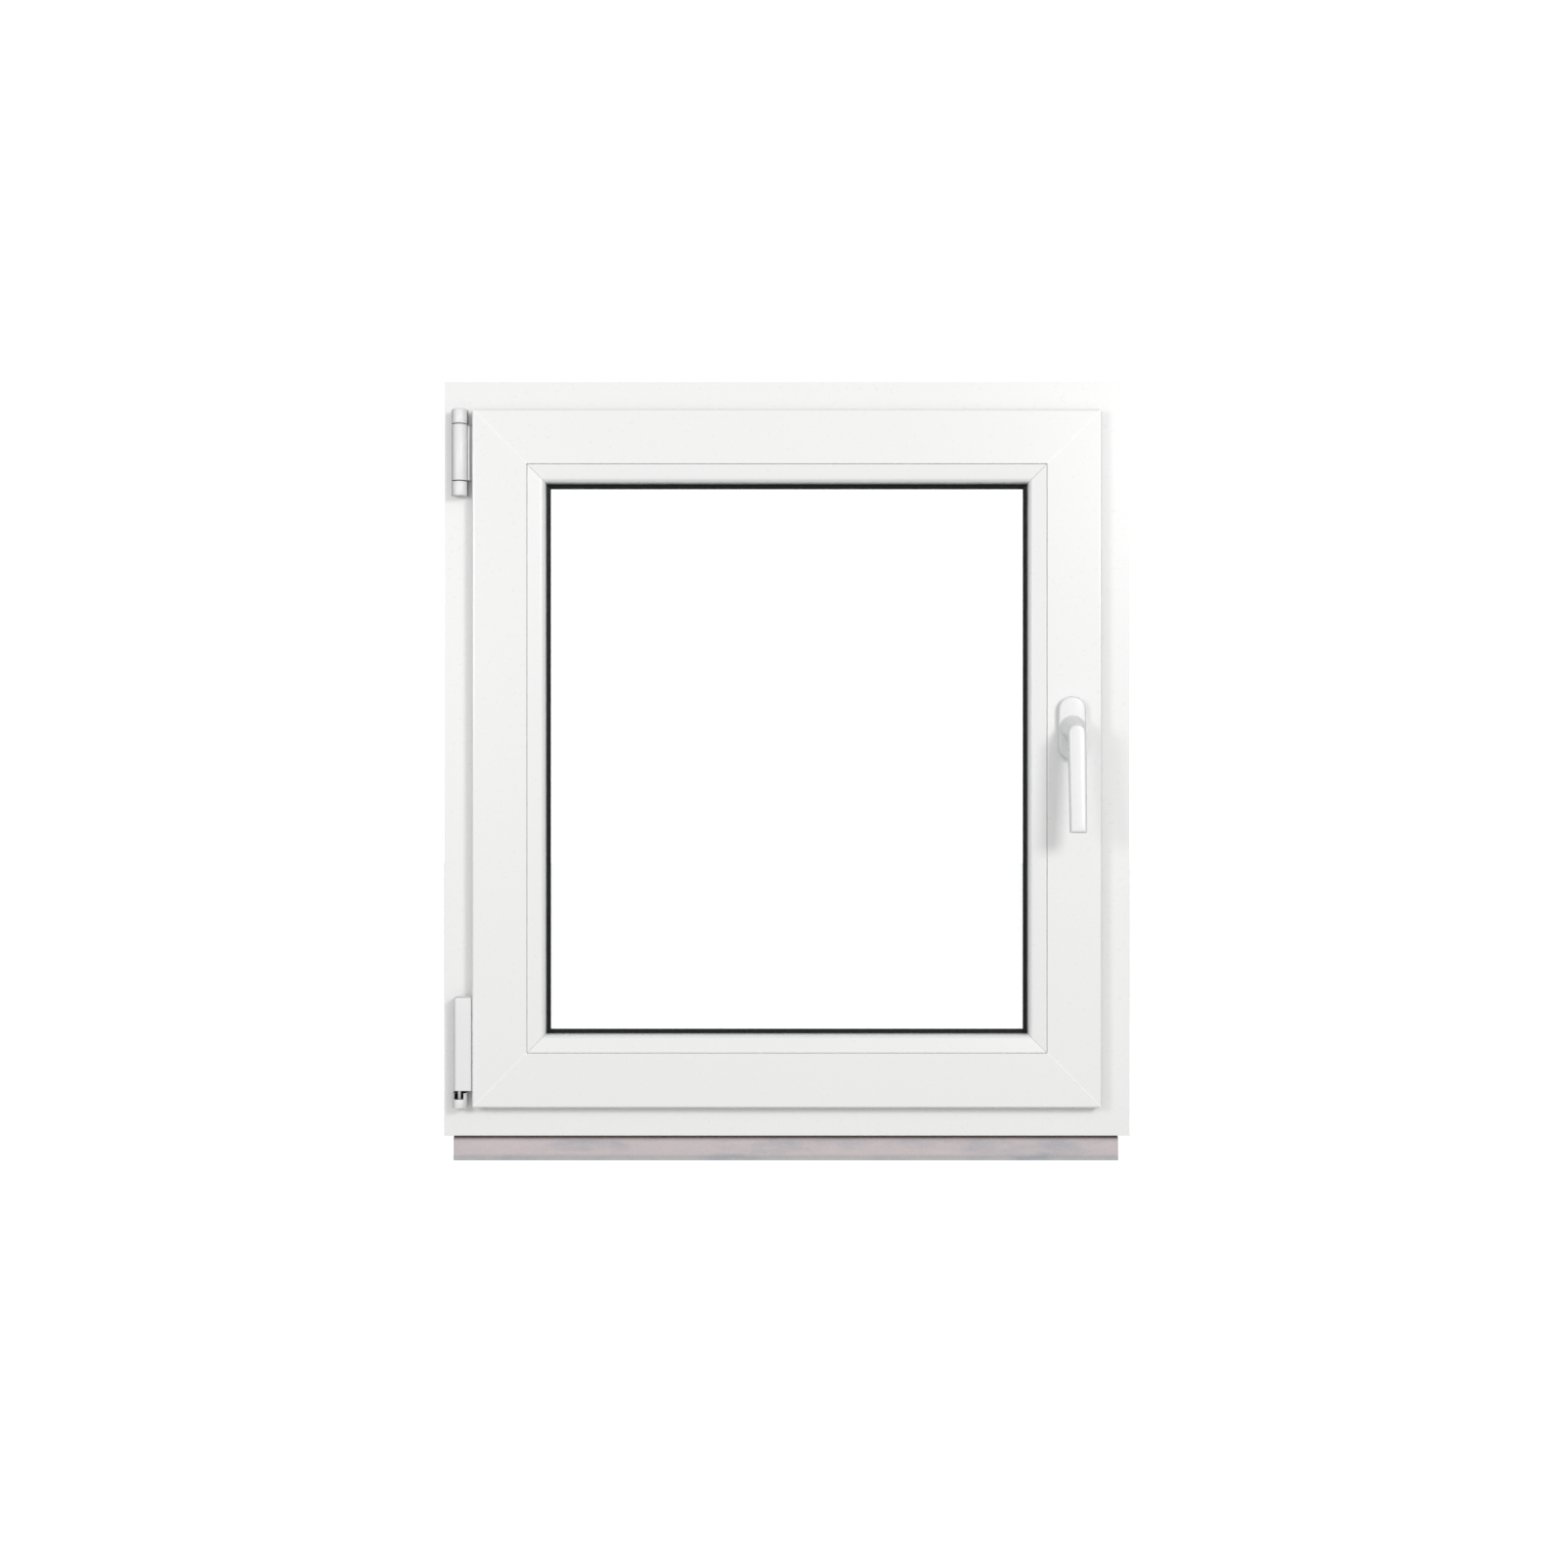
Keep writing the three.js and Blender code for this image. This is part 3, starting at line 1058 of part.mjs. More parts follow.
// locking cams, round studs that stand on a rod and pass out through the faceplate
const CAM_TOP = FLANGE - CAM_REACH;
const CAM_FOOT = ROD_INNER + 0.5;
const lockCam = (z) =>
  bolt(GROOVE_Y, z, CAM_RADIUS, SASH_RECT.x1 - CAM_FOOT, SASH_RECT.x1 - CAM_TOP, 20);
const headCam = (x) =>
  post(x, GROOVE_Y, CAM_RADIUS, SASH_RECT.z1 - CAM_FOOT, SASH_RECT.z1 - CAM_TOP, 20);
const sillCam = (x) =>
  post(x, GROOVE_Y, CAM_RADIUS, SASH_RECT.z0 + CAM_TOP, SASH_RECT.z0 + CAM_FOOT, 20);

// rack windows in the rod, one pitch apart, for the travel and a little beyond
const rackWindows = () => {
  const count = Math.ceil(ROD_TRAVEL / RACK_PITCH) + 5;
  const half = RACK_PITCH * WINDOW_SHARE;
  return Array.from({ length: count }, (_, i) => {
    const z = SPINDLE_Z + (i - 2) * RACK_PITCH;
    return onLock(ROD_INNER - 1, ROD_OUTER + 1, PINION_WIDTH / 2 + 0.5, z - half, z + half);
  });
};

part("lock_rod", zincPlate, carve([
  onLock(ROD_INNER, ROD_OUTER, ROD_WIDTH / 2,
    SASH_RECT.z0 + ROD_END + ROD_TRAVEL, SASH_RECT.z1 - ROD_END),
  ...CAM_LOCK_Z.map(lockCam),
], rackWindows()));

part("head_rod", zincPlate, carve([
  onHead(ROD_INNER, ROD_OUTER, ROD_WIDTH / 2,
    STAY_PIN_X + 30, SASH_RECT.x1 - ROD_END - ROD_TRAVEL),
  headCam(CAM_HEAD_X),
]));

part("sill_rod", zincPlate, carve([
  onSill(ROD_INNER, ROD_OUTER, ROD_WIDTH / 2, CAM_SILL_X - 200, SASH_RECT.x1 - ROD_END),
  sillCam(CAM_SILL_X),
]));

// keepers on the rebate floor, each with a low lip on the room side of its cam
const KEEPER_Y0 = FRAME_FACE_Y + 1;
const KEEPER_Y1 = REBATE_STEP_Y - 2;
const KEEPER_HOLE = { radius: 2.2, in: 8, y: (KEEPER_Y0 + KEEPER_Y1) / 2 + 2 };

function keeper(side, centre) {
  const top = FRAME_FACE + KEEPER_BASE;
  const lip = FRAME_FACE + KEEPER_LIP;
  const section = outline([
    [FRAME_FACE, KEEPER_Y0],
    [lip, KEEPER_Y0, 0.6],
    [lip, KEEPER_Y0 + 3],
    [top, KEEPER_Y0 + 4],
    [top, KEEPER_Y1],
    [FRAME_FACE, KEEPER_Y1],
  ]);
  const { start, inward } = sideOf(FRAME_RECT, side);
  if (inward.x === 0) start.setX(centre);
  else start.setZ(centre);
  const plate = extrude(section, KEEPER_LENGTH).translate(0, 0, -KEEPER_LENGTH / 2);
  const holes = [-1, 1].map((end) => bolt(
    KEEPER_HOLE.y, end * (KEEPER_LENGTH / 2 - KEEPER_HOLE.in), KEEPER_HOLE.radius,
    FRAME_FACE - 1, top + 1, 16,
  ));
  return carve([plate], holes).applyMatrix4(placeOn(inward, start));
}

part("keeper_lock_lower", zincPlate, keeper("right", CAM_LOCK_Z[0]));
part("keeper_lock_upper", zincPlate, keeper("right", CAM_LOCK_Z[1]));
part("keeper_head", zincPlate, keeper("top", CAM_HEAD_X));
part("keeper_sill", zincPlate, keeper("bottom", CAM_SILL_X));

// ---- handle -------------------------------------------------------------------------------

function rosette() {
  const half = ROSETTE_WIDTH / 2;
  const shape = outline(rectangle(
    SPINDLE_X - half + 1.5, SPINDLE_X + half - 1.5,
    SPINDLE_Z - ROSETTE_HEIGHT / 2 + 1.5, SPINDLE_Z + ROSETTE_HEIGHT / 2 - 1.5, half - 2,
  ));
  const body = extrudeBack(shape, ROSETTE_FACE_Y + 1.5, SASH_FACE_Y, {
    bevelEnabled: true, bevelSize: 1.5, bevelThickness: 1.5, bevelSegments: 3, curveSegments: 10,
  });
  const trim = block(
    SPINDLE_X - half - 1, SPINDLE_X + half + 1, SASH_FACE_Y, SASH_FACE_Y + 3,
    SPINDLE_Z - ROSETTE_HEIGHT, SPINDLE_Z + ROSETTE_HEIGHT,
  );
  return carve(
    [body, peg(SPINDLE_X, SPINDLE_Z, COLLAR_RADIUS, COLLAR_FACE_Y, SASH_FACE_Y - 1, 40)],
    [trim, peg(SPINDLE_X, SPINDLE_Z, SPINDLE * 0.76, COLLAR_FACE_Y - 1, SASH_FACE_Y + 1)],
  );
}

part("handle_rosette", handleWhite, rosette());

const LEVER_FRONT_Y = ROSETTE_FACE_Y - LEVER_PROJECTION;
const LEVER_BACK_Y = LEVER_FRONT_Y + LEVER_THICKNESS;
const NECK_Y = COLLAR_FACE_Y - CLEARANCE;
const LEVER_TIP_Z = SPINDLE_Z - LEVER_REACH;
const LEVER_TOP_CENTRE_Z = SPINDLE_Z - LEVER_DROP;
const SPINDLE_IN_LEVER = 20;

// Moves each vertex of a geometry: change(x, y, z) gives its new place.
function reshape(geometry, change) {
  const position = geometry.attributes.position;
  for (let i = 0; i < position.count; i += 1) {
    position.setXYZ(i, ...change(position.getX(i), position.getY(i), position.getZ(i)));
  }
  return geometry;
}

// lever: a neck that leaves the collar and drops a little, and a grip with a round top
function lever() {
  const ease = 3;
  const half = LEVER_TOP_WIDTH / 2 - ease;
  const front = new THREE.Shape();
  front.moveTo(SPINDLE_X - half, LEVER_TIP_Z + ease);
  front.lineTo(SPINDLE_X + half, LEVER_TIP_Z + ease);
  front.lineTo(SPINDLE_X + half, LEVER_TOP_CENTRE_Z);
  front.absarc(SPINDLE_X, LEVER_TOP_CENTRE_Z, half, 0, Math.PI, false);
  front.closePath();
  const blade = extrudeBack(front, LEVER_FRONT_Y + ease, LEVER_BACK_Y - ease, {
    bevelEnabled: true, bevelSize: ease, bevelThickness: ease, bevelSegments: 3, curveSegments: 12,
  });
  const downTo = LEVER_TOP_CENTRE_Z - LEVER_TIP_Z;
  const narrowing = LEVER_TIP_WIDTH / LEVER_TOP_WIDTH;
  reshape(blade, (x, y, z) => {
    const down = THREE.MathUtils.clamp((LEVER_TOP_CENTRE_Z - z) / downTo, 0, 1);
    const share = THREE.MathUtils.lerp(1, narrowing, down);
    return [SPINDLE_X + (x - SPINDLE_X) * share, y - LEVER_LEAN * down, z];
  });
  const neckEnd = LEVER_BACK_Y - ease;
  const neck = peg(SPINDLE_X, SPINDLE_Z, NECK_RADIUS, neckEnd, NECK_Y, 32);
  reshape(neck, (x, y, z) => {
    const out = (NECK_Y - y) / (NECK_Y - neckEnd);
    const share = THREE.MathUtils.lerp(1, (LEVER_TOP_WIDTH / 2 - 0.8) / NECK_RADIUS, out);
    const lowered = SPINDLE_Z - LEVER_DROP * out;
    return [SPINDLE_X + (x - SPINDLE_X) * share, y, lowered + (z - SPINDLE_Z) * share];
  });
  const bore = SPINDLE / 2 + 0.2;
  return carve([blade, neck], [
    block(SPINDLE_X - bore, SPINDLE_X + bore, NECK_Y - SPINDLE_IN_LEVER - 1, SASH_FACE_Y,
      SPINDLE_Z - bore, SPINDLE_Z + bore),
  ]);
}

part("handle_lever", handleWhite, lever());
part("handle_spindle", zincPlate, block(
  SPINDLE_X - SPINDLE / 2, SPINDLE_X + SPINDLE / 2,
  NECK_Y - SPINDLE_IN_LEVER, GROOVE_Y + PINION_WIDTH / 2 + 1.5,
  SPINDLE_Z - SPINDLE / 2, SPINDLE_Z + SPINDLE / 2,
));

export default windowGroup;
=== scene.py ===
"""Tilt-and-turn casement window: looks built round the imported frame. Units are metres."""

import json
import math

import bmesh
import bpy
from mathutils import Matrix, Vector
from mathutils.geometry import tessellate_polygon


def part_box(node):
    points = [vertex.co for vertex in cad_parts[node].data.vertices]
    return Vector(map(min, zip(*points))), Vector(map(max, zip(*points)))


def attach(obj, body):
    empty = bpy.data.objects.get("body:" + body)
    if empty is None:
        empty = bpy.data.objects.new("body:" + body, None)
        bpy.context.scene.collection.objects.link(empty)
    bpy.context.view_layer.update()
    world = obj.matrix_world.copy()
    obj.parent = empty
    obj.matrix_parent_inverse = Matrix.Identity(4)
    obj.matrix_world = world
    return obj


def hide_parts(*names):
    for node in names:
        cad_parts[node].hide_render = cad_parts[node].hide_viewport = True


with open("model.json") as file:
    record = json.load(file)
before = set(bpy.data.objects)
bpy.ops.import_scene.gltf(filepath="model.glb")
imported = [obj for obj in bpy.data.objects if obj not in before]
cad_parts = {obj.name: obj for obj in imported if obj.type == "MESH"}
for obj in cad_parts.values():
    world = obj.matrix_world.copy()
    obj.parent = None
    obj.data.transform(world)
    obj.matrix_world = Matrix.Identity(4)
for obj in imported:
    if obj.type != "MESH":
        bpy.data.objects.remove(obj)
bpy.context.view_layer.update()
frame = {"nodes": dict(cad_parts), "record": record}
nodes = frame["nodes"]
record = frame["record"]
slot_of = {s["node"]: s["material_slot"] for s in record["subparts"]}
scene = bpy.context.scene
MM = 0.001


# ---- materials --------------------------------------------------------------------------

class Nodes:
    """A material's node tree, with short calls for what these finishes share."""

    def __init__(self, name):
        self.material = bpy.data.materials.new(name)
        self.material.use_nodes = True
        self.tree = self.material.node_tree
        self.shader = self.tree.nodes["Principled BSDF"]
        self.coords = self.add("ShaderNodeTexCoord").outputs["Object"]

    def add(self, kind, **settings):
        node = self.tree.nodes.new(kind)
        for key, value in settings.items():
            setattr(node, key, value)
        return node

    def link(self, output, target):
        self.tree.links.new(output, target)

    def set(self, **sockets):
        for name, value in sockets.items():
            self.shader.inputs[name.replace("_", " ")].default_value = value

    def stretched(self, scale):
        node = self.add("ShaderNodeMapping")
        node.inputs["Scale"].default_value = scale
        self.link(self.coords, node.inputs["Vector"])
        return node.outputs["Vector"]

    def noise(self, scale, detail=3.0, vector=None, roughness=0.5):
        node = self.add("ShaderNodeTexNoise")
        node.inputs["Scale"].default_value = scale
        node.inputs["Detail"].default_value = detail
        node.inputs["Roughness"].default_value = roughness
        self.link(vector or self.coords, node.inputs["Vector"])
        return node.outputs["Fac"]

    def cells(self, scale):
        node = self.add("ShaderNodeTexVoronoi")
        node.inputs["Scale"].default_value = scale
        self.link(self.coords, node.inputs["Vector"])
        return node.outputs["Distance"]

    def ramp(self, fac, stops):
        node = self.add("ShaderNodeValToRGB")
        ramp = node.color_ramp
        while len(ramp.elements) < len(stops):
            ramp.elements.new(0.5)
        for element, (place, colour) in zip(ramp.elements, stops):
            element.position = place
            element.color = (*colour, 1.0)
        self.link(fac, node.inputs["Fac"])
        return node.outputs["Color"]

    def spread(self, fac, low, high):
        node = self.add("ShaderNodeMapRange")
        node.inputs["From Min"].default_value = 0.3
        node.inputs["From Max"].default_value = 0.7
        node.inputs["To Min"].default_value = low
        node.inputs["To Max"].default_value = high
        self.link(fac, node.inputs["Value"])
        return node.outputs["Result"]

    def times(self, a, b):
        node = self.add("ShaderNodeMix", data_type="RGBA", blend_type="MULTIPLY")
        node.inputs["Factor"].default_value = 1.0
        self.link(a, node.inputs["A"])
        self.link(b, node.inputs["B"])
        return node.outputs["Result"]

    def bump(self, heights):
        """heights: (output, strength, distance in metres), finest last."""
        normal = None
        for height, strength, distance in heights:
            node = self.add("ShaderNodeBump")
            node.inputs["Strength"].default_value = strength
            node.inputs["Distance"].default_value = distance
            self.link(height, node.inputs["Height"])
            if normal:
                self.link(normal, node.inputs["Normal"])
            normal = node.outputs["Normal"]
        self.link(normal, self.shader.inputs["Normal"])

    def colour(self, output):
        self.link(output, self.shader.inputs["Base Color"])

    def rough(self, output):
        self.link(output, self.shader.inputs["Roughness"])


def tint(colour, factor):
    return tuple(min(1.0, c * factor) for c in colour)


def moulded(name, colour, low, high, peel=0.004, grain=0.02, coat=0.0):
    """Smooth white plastic or powder coat: faint clouding, slight orange peel, fine grain."""
    m = Nodes(name)
    m.colour(m.ramp(m.noise(5.0, 3.0), [(0.3, tint(colour, 0.995)), (0.7, tint(colour, 1.004))]))
    m.rough(m.spread(m.noise(160.0, 3.0), low, high))
    m.bump([(m.noise(60.0, 2.0), peel, 0.001), (m.noise(1500.0, 2.0), grain, 0.0003)])
    m.set(IOR=1.5)
    if coat:
        m.set(Coat_Weight=coat, Coat_Roughness=0.18)
    return m.material


BLACKS = [(0.3, (0.006, 0.006, 0.007)), (0.75, (0.014, 0.014, 0.015))]


def rubber():
    m = Nodes("gasket_black")
    m.colour(m.ramp(m.noise(300.0, 3.0), BLACKS))
    m.rough(m.spread(m.noise(120.0), 0.42, 0.6))
    m.bump([(m.noise(900.0, 3.0), 0.15, 0.0004)])
    m.set(Specular_IOR_Level=0.2)
    return m.material


def dull_black():
    m = Nodes("plastic_black")
    m.colour(m.ramp(m.noise(200.0, 3.0), BLACKS))
    m.rough(m.spread(m.noise(80.0), 0.4, 0.55))
    m.bump([(m.noise(1200.0, 3.0), 0.1, 0.0003)])
    m.set(Specular_IOR_Level=0.2)
    return m.material


def galvanised():
    m = Nodes("steel_galvanised")
    spangle = m.cells(160.0)
    m.colour(m.ramp(spangle, [(0.0, (0.42, 0.44, 0.46)), (0.8, (0.62, 0.64, 0.66))]))
    m.rough(m.spread(m.noise(220.0), 0.38, 0.58))
    m.bump([(spangle, 0.05, 0.0004), (m.noise(1300.0), 0.05, 0.0002)])
    m.set(Metallic=1.0)
    return m.material


def zinc():
    m = Nodes("hardware_zinc")
    m.colour(m.ramp(m.noise(60.0, 4.0), [(0.3, (0.50, 0.51, 0.52)), (0.7, (0.62, 0.625, 0.63))]))
    m.rough(m.spread(m.noise(260.0), 0.26, 0.42))
    m.bump([(m.noise(700.0, 3.0, m.stretched((1.0, 8.0, 1.0))), 0.06, 0.0003)])
    m.set(Metallic=1.0)
    return m.material


def base_grey():
    """Warm grey recycled plastic: pinkish and bluish patches, a grey foot, and a painted shadow of
    the frame darkening its top.
    """
    m = Nodes("base_grey")
    patches = m.ramp(m.noise(1.0, 5.0, m.stretched((17.0, 17.0, 62.0)), 0.6), [
        (0.32, (0.47, 0.452, 0.47)), (0.5, (0.59, 0.525, 0.525)), (0.68, (0.64, 0.55, 0.545)),
    ])
    heights = m.add("ShaderNodeSeparateXYZ")
    m.link(m.coords, heights.inputs["Vector"])
    up = m.add("ShaderNodeMapRange")
    up.inputs["From Max"].default_value = 0.03
    m.link(heights.outputs["Z"], up.inputs["Value"])
    # Greyer at the foot, and darker towards the top: a painted shadow cast by the frame's overhang.
    foot_grey_and_painted_shadow = m.ramp(up.outputs["Result"], [
        (0.0, (0.77, 0.86, 0.87)), (0.2, (0.80, 0.87, 0.88)), (0.26, (0.97, 0.97, 0.98)),
        (0.72, (0.97, 0.98, 1.0)), (0.79, (0.87, 0.86, 0.87)), (0.86, (0.53, 0.50, 0.50)),
        (0.92, (0.27, 0.25, 0.25)), (1.0, (0.25, 0.22, 0.22)),
    ])
    flecks = m.ramp(m.noise(420.0, 4.0), [(0.30, (0.93, 0.93, 0.93)), (0.6, (1.0, 1.0, 1.0))])
    m.colour(m.times(m.times(patches, foot_grey_and_painted_shadow), flecks))
    m.rough(m.spread(m.noise(70.0), 0.45, 0.62))
    m.bump([
        (m.noise(30.0, 3.0, m.stretched((0.2, 1.0, 14.0))), 0.06, 0.0006),
        (m.noise(1300.0), 0.06, 0.0003),
    ])
    return m.material


def glass():
    """Clear panes: nearly invisible face on, and reflecting more as they are seen edge on."""
    m = Nodes("glass")
    facing = m.add("ShaderNodeLayerWeight")
    facing.inputs["Blend"].default_value = 0.25
    alpha = m.add("ShaderNodeMapRange")
    alpha.inputs["To Min"].default_value = 0.035
    alpha.inputs["To Max"].default_value = 0.75
    m.link(facing.outputs["Fresnel"], alpha.inputs["Value"])
    m.link(alpha.outputs["Result"], m.shader.inputs["Alpha"])
    m.colour(m.ramp(m.noise(3.0, 2.0), [(0.3, (0.86, 0.93, 0.92)), (0.7, (0.90, 0.96, 0.95))]))
    m.rough(m.spread(m.noise(5.0, 2.0), 0.01, 0.03))
    m.set(IOR=1.52)
    return m.material


PVC_WHITE = (0.845, 0.845, 0.84)
HINGE_WHITE = (0.81, 0.81, 0.81)
HANDLE_WHITE = (0.81, 0.812, 0.815)
materials = {
    "pvc_white": moulded("pvc_white", PVC_WHITE, 0.27, 0.31, coat=0.15),
    "hinge_white": moulded("hinge_white", HINGE_WHITE, 0.3, 0.42, grain=0.04),
    "handle_white": moulded(
        "handle_white", HANDLE_WHITE, 0.26, 0.36, peel=0.01, grain=0.03, coat=0.2
    ),
    "gasket_black": rubber(),
    "plastic_black": dull_black(),
    "steel_galvanised": galvanised(),
    "hardware_zinc": zinc(),
    "base_grey": base_grey(),
    "glass": glass(),
}


# ---- mesh helpers -----------------------------------------------------------------------

def new_piece(name, vertices, faces, slot, body, smooth=True, replaces=()):
    mesh = bpy.data.meshes.new(name)
    mesh.from_pydata([tuple(v) for v in vertices], [], faces)
    bm = bmesh.new()
    bm.from_mesh(mesh)
    bmesh.ops.recalc_face_normals(bm, faces=bm.faces)
    bm.to_mesh(mesh)
    bm.free()
    for polygon in mesh.polygons:
        polygon.use_smooth = smooth
    piece = bpy.data.objects.new(name, mesh)
    scene.collection.objects.link(piece)
    mesh.materials.append(materials[slot])
    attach(piece, body)
    if replaces:
        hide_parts(*replaces)
    return piece


def loft(rings):
    """Vertices and faces of a closed solid through rings with the same number of points."""
    count = len(rings[0])
    vertices = [point for ring in rings for point in ring]
    faces = []
    for r in range(len(rings) - 1):
        for k in range(count):
            after = (k + 1) % count
            low, high = r * count, (r + 1) * count
            faces.append((low + k, low + after, high + after, high + k))
    faces.append(tuple(range(count))[::-1])
    faces.append(tuple((len(rings) - 1) * count + k for k in range(count)))
    return vertices, faces


def joined(first, second):
    """Two closed solids as one list of vertices and one of faces."""
    shift = len(first[0])
    moved = [tuple(k + shift for k in face) for face in second[1]]
    return first[0] + second[0], first[1] + moved


def sharpen(piece, angle=32.0):
    """Keeps a smooth-shaded piece's real edges crisp."""
    mesh = piece.data
    bm = bmesh.new()
    bm.from_mesh(mesh)
    limit = math.radians(angle)
    for edge in bm.edges:
        if len(edge.link_faces) == 2 and edge.calc_face_angle(0.0) > limit:
            edge.smooth = False
    bm.to_mesh(mesh)
    bm.free()


MERGE = 0.01 * MM


def eased(node, width=0.35, angle=35.0, smooth=False):
    """Small eased edges on a CAD node, as extruded and moulded parts have; width in mm."""
    obj = nodes[node]
    weld = obj.modifiers.new("weld", "WELD")
    weld.merge_threshold = MERGE
    bevel = obj.modifiers.new("ease", "BEVEL")
    bevel.width = width * MM
    bevel.segments = 2
    bevel.limit_method = "ANGLE"
    bevel.angle_limit = math.radians(angle)
    bevel.harden_normals = True
    bevel.use_clamp_overlap = True
    for polygon in obj.data.polygons:
        polygon.use_smooth = smooth


# ---- CAD nodes that are shown as they are -------------------------------------------------

for name, obj in nodes.items():
    obj.data.materials.clear()
    obj.data.materials.append(materials[slot_of[name]])

for name in nodes:
    if slot_of[name] in ("pvc_white", "base_grey"):
        eased(name)
    elif slot_of[name] in ("hinge_white", "hardware_zinc"):
        eased(name, 0.25, 30.0, smooth=True)

SASH_BARS = ("sash_bottom_rail", "sash_top_rail", "sash_hinge_stile", "sash_lock_stile")
SASH_EDGE_RADIUS = 1.4 * MM
CORNER_CUT = 1.7 * MM          # how far the sash's cut corners reach from its outline
FACE_SLACK = 0.02 * MM


def rounded_outline():
    """The sash's outer front edge is rounder than its other edges."""
    lo = [min(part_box(bar)[0][i] for bar in SASH_BARS) for i in range(3)]
    hi = [max(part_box(bar)[1][i] for bar in SASH_BARS) for i in range(3)]
    for bar in SASH_BARS:
        obj = nodes[bar]
        edge = obj.vertex_groups.new(name="outline")
        for vertex in obj.data.vertices:
            x, y, z = obj.matrix_world @ vertex.co
            reach = min(x - lo[0], hi[0] - x, z - lo[2], hi[2] - z)
            if y < lo[1] + FACE_SLACK and reach < CORNER_CUT:
                edge.add([vertex.index], 1.0, "REPLACE")
        bevel = obj.modifiers.new("outline", "BEVEL")
        bevel.width = SASH_EDGE_RADIUS
        bevel.segments = 4
        bevel.limit_method = "VGROUP"
        bevel.vertex_group = "outline"
        bevel.harden_normals = True
        obj.modifiers.move(len(obj.modifiers) - 1, 1)


rounded_outline()

# ---- outlines for the detailed pieces ----------------------------------------------------

def arc(centre, radius, start, end, steps):
    """Points round a centre, from one angle to another in degrees."""
    angles = [math.radians(start + (end - start) * i / steps) for i in range(steps + 1)]
    return [(centre[0] + radius * math.cos(a), centre[1] + radius * math.sin(a)) for a in angles]


def ring(centre, radius, count):
    """The points of a full circle."""
    return arc(centre, radius, 0, 360, count)[:-1]


def rounded(x0, x1, z0, z1, radii, steps=8):
    """A rectangle with its own radius at each corner: lower left, then anticlockwise."""
    low_left, low_right, top_right, top_left = radii
    return (
        arc((x0 + low_left, z0 + low_left), low_left, 180, 270, steps)
        + arc((x1 - low_right, z0 + low_right), low_right, 270, 360, steps)
        + arc((x1 - top_right, z1 - top_right), top_right, 0, 90, steps)
        + arc((x0 + top_left, z1 - top_left), top_left, 90, 180, steps)
    )


def quarter(radius, steps=5):
    """(inset, rise) pairs of a rounded rim, from its foot to the flat top."""
    angles = [math.radians(90 * i / steps) for i in range(steps + 1)]
    return [(radius * (1 - math.cos(a)), radius * math.sin(a)) for a in angles]


def lerp(a, b, share):
    return a + (b - a) * share


# ---- handle: rosette with its collar, and the lever ---------------------------------------

plate_lo, plate_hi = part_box("handle_rosette")
lever_lo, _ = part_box("handle_lever")
spindle = sum(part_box("handle_spindle"), Vector()) / 2
sash_face = plate_hi.y
COLLAR_RADIUS = 14.5 * MM
COLLAR_HEIGHT = 3 * MM
COLLAR_RIM = 0.9 * MM
PLATE_RIM = 3.2 * MM
PLATE_FLAT = 0.4 * MM          # the straight part between the rosette's end curves, halved


def rosette():
    """A flat-sided plate with round ends and a soft rim, and a low round collar on it."""
    face = plate_lo.y + COLLAR_HEIGHT
    wall = sash_face - face - PLATE_RIM
    rings = []
    for inset, rise in [(0, 0)] + [(i, wall + r) for i, r in quarter(PLATE_RIM)]:
        half = (plate_hi.x - plate_lo.x) / 2 - inset
        outline = rounded(
            spindle.x - half, spindle.x + half, plate_lo.z + inset, plate_hi.z - inset,
            [half - PLATE_FLAT] * 4,
        )
        rings.append([(x, sash_face - rise, z) for x, z in outline])

    collar = []
    wall = COLLAR_HEIGHT - COLLAR_RIM
    for inset, rise in [(0, -1 * MM)] + [(i, wall + r) for i, r in quarter(COLLAR_RIM, 3)]:
        outline = ring((spindle.x, spindle.z), COLLAR_RADIUS - inset, 64)
        collar.append([(x, face - rise, z) for x, z in outline])
    vertices, faces = joined(loft(rings), loft(collar))
    piece = new_piece("rosette_plate", vertices, faces, "handle_white", "sash",
                      replaces=("handle_rosette",))
    sharpen(piece, 40.0)


rosette()

LEVER_HALF = 10.4 * MM
LEVER_TIP_HALF = 9.6 * MM
LEVER_THICKNESS = 11 * MM
LEVER_LEAN = 12 * MM           # how much nearer the room the tip is than the top
LEVER_DROP = 6.4 * MM          # from the spindle down to the centre of the round top
LEVER_CORNER = 2.0 * MM
FRONT_RIM = 4.2 * MM
BACK_RIM = 2.6 * MM
CROWN_INSET = 2.5 * MM
CROWN = 0.25 * MM
NECK_RADII = (14.0 * MM, 9.4 * MM)
NECK_FLARE = 0.75
NECK_STEPS = 12


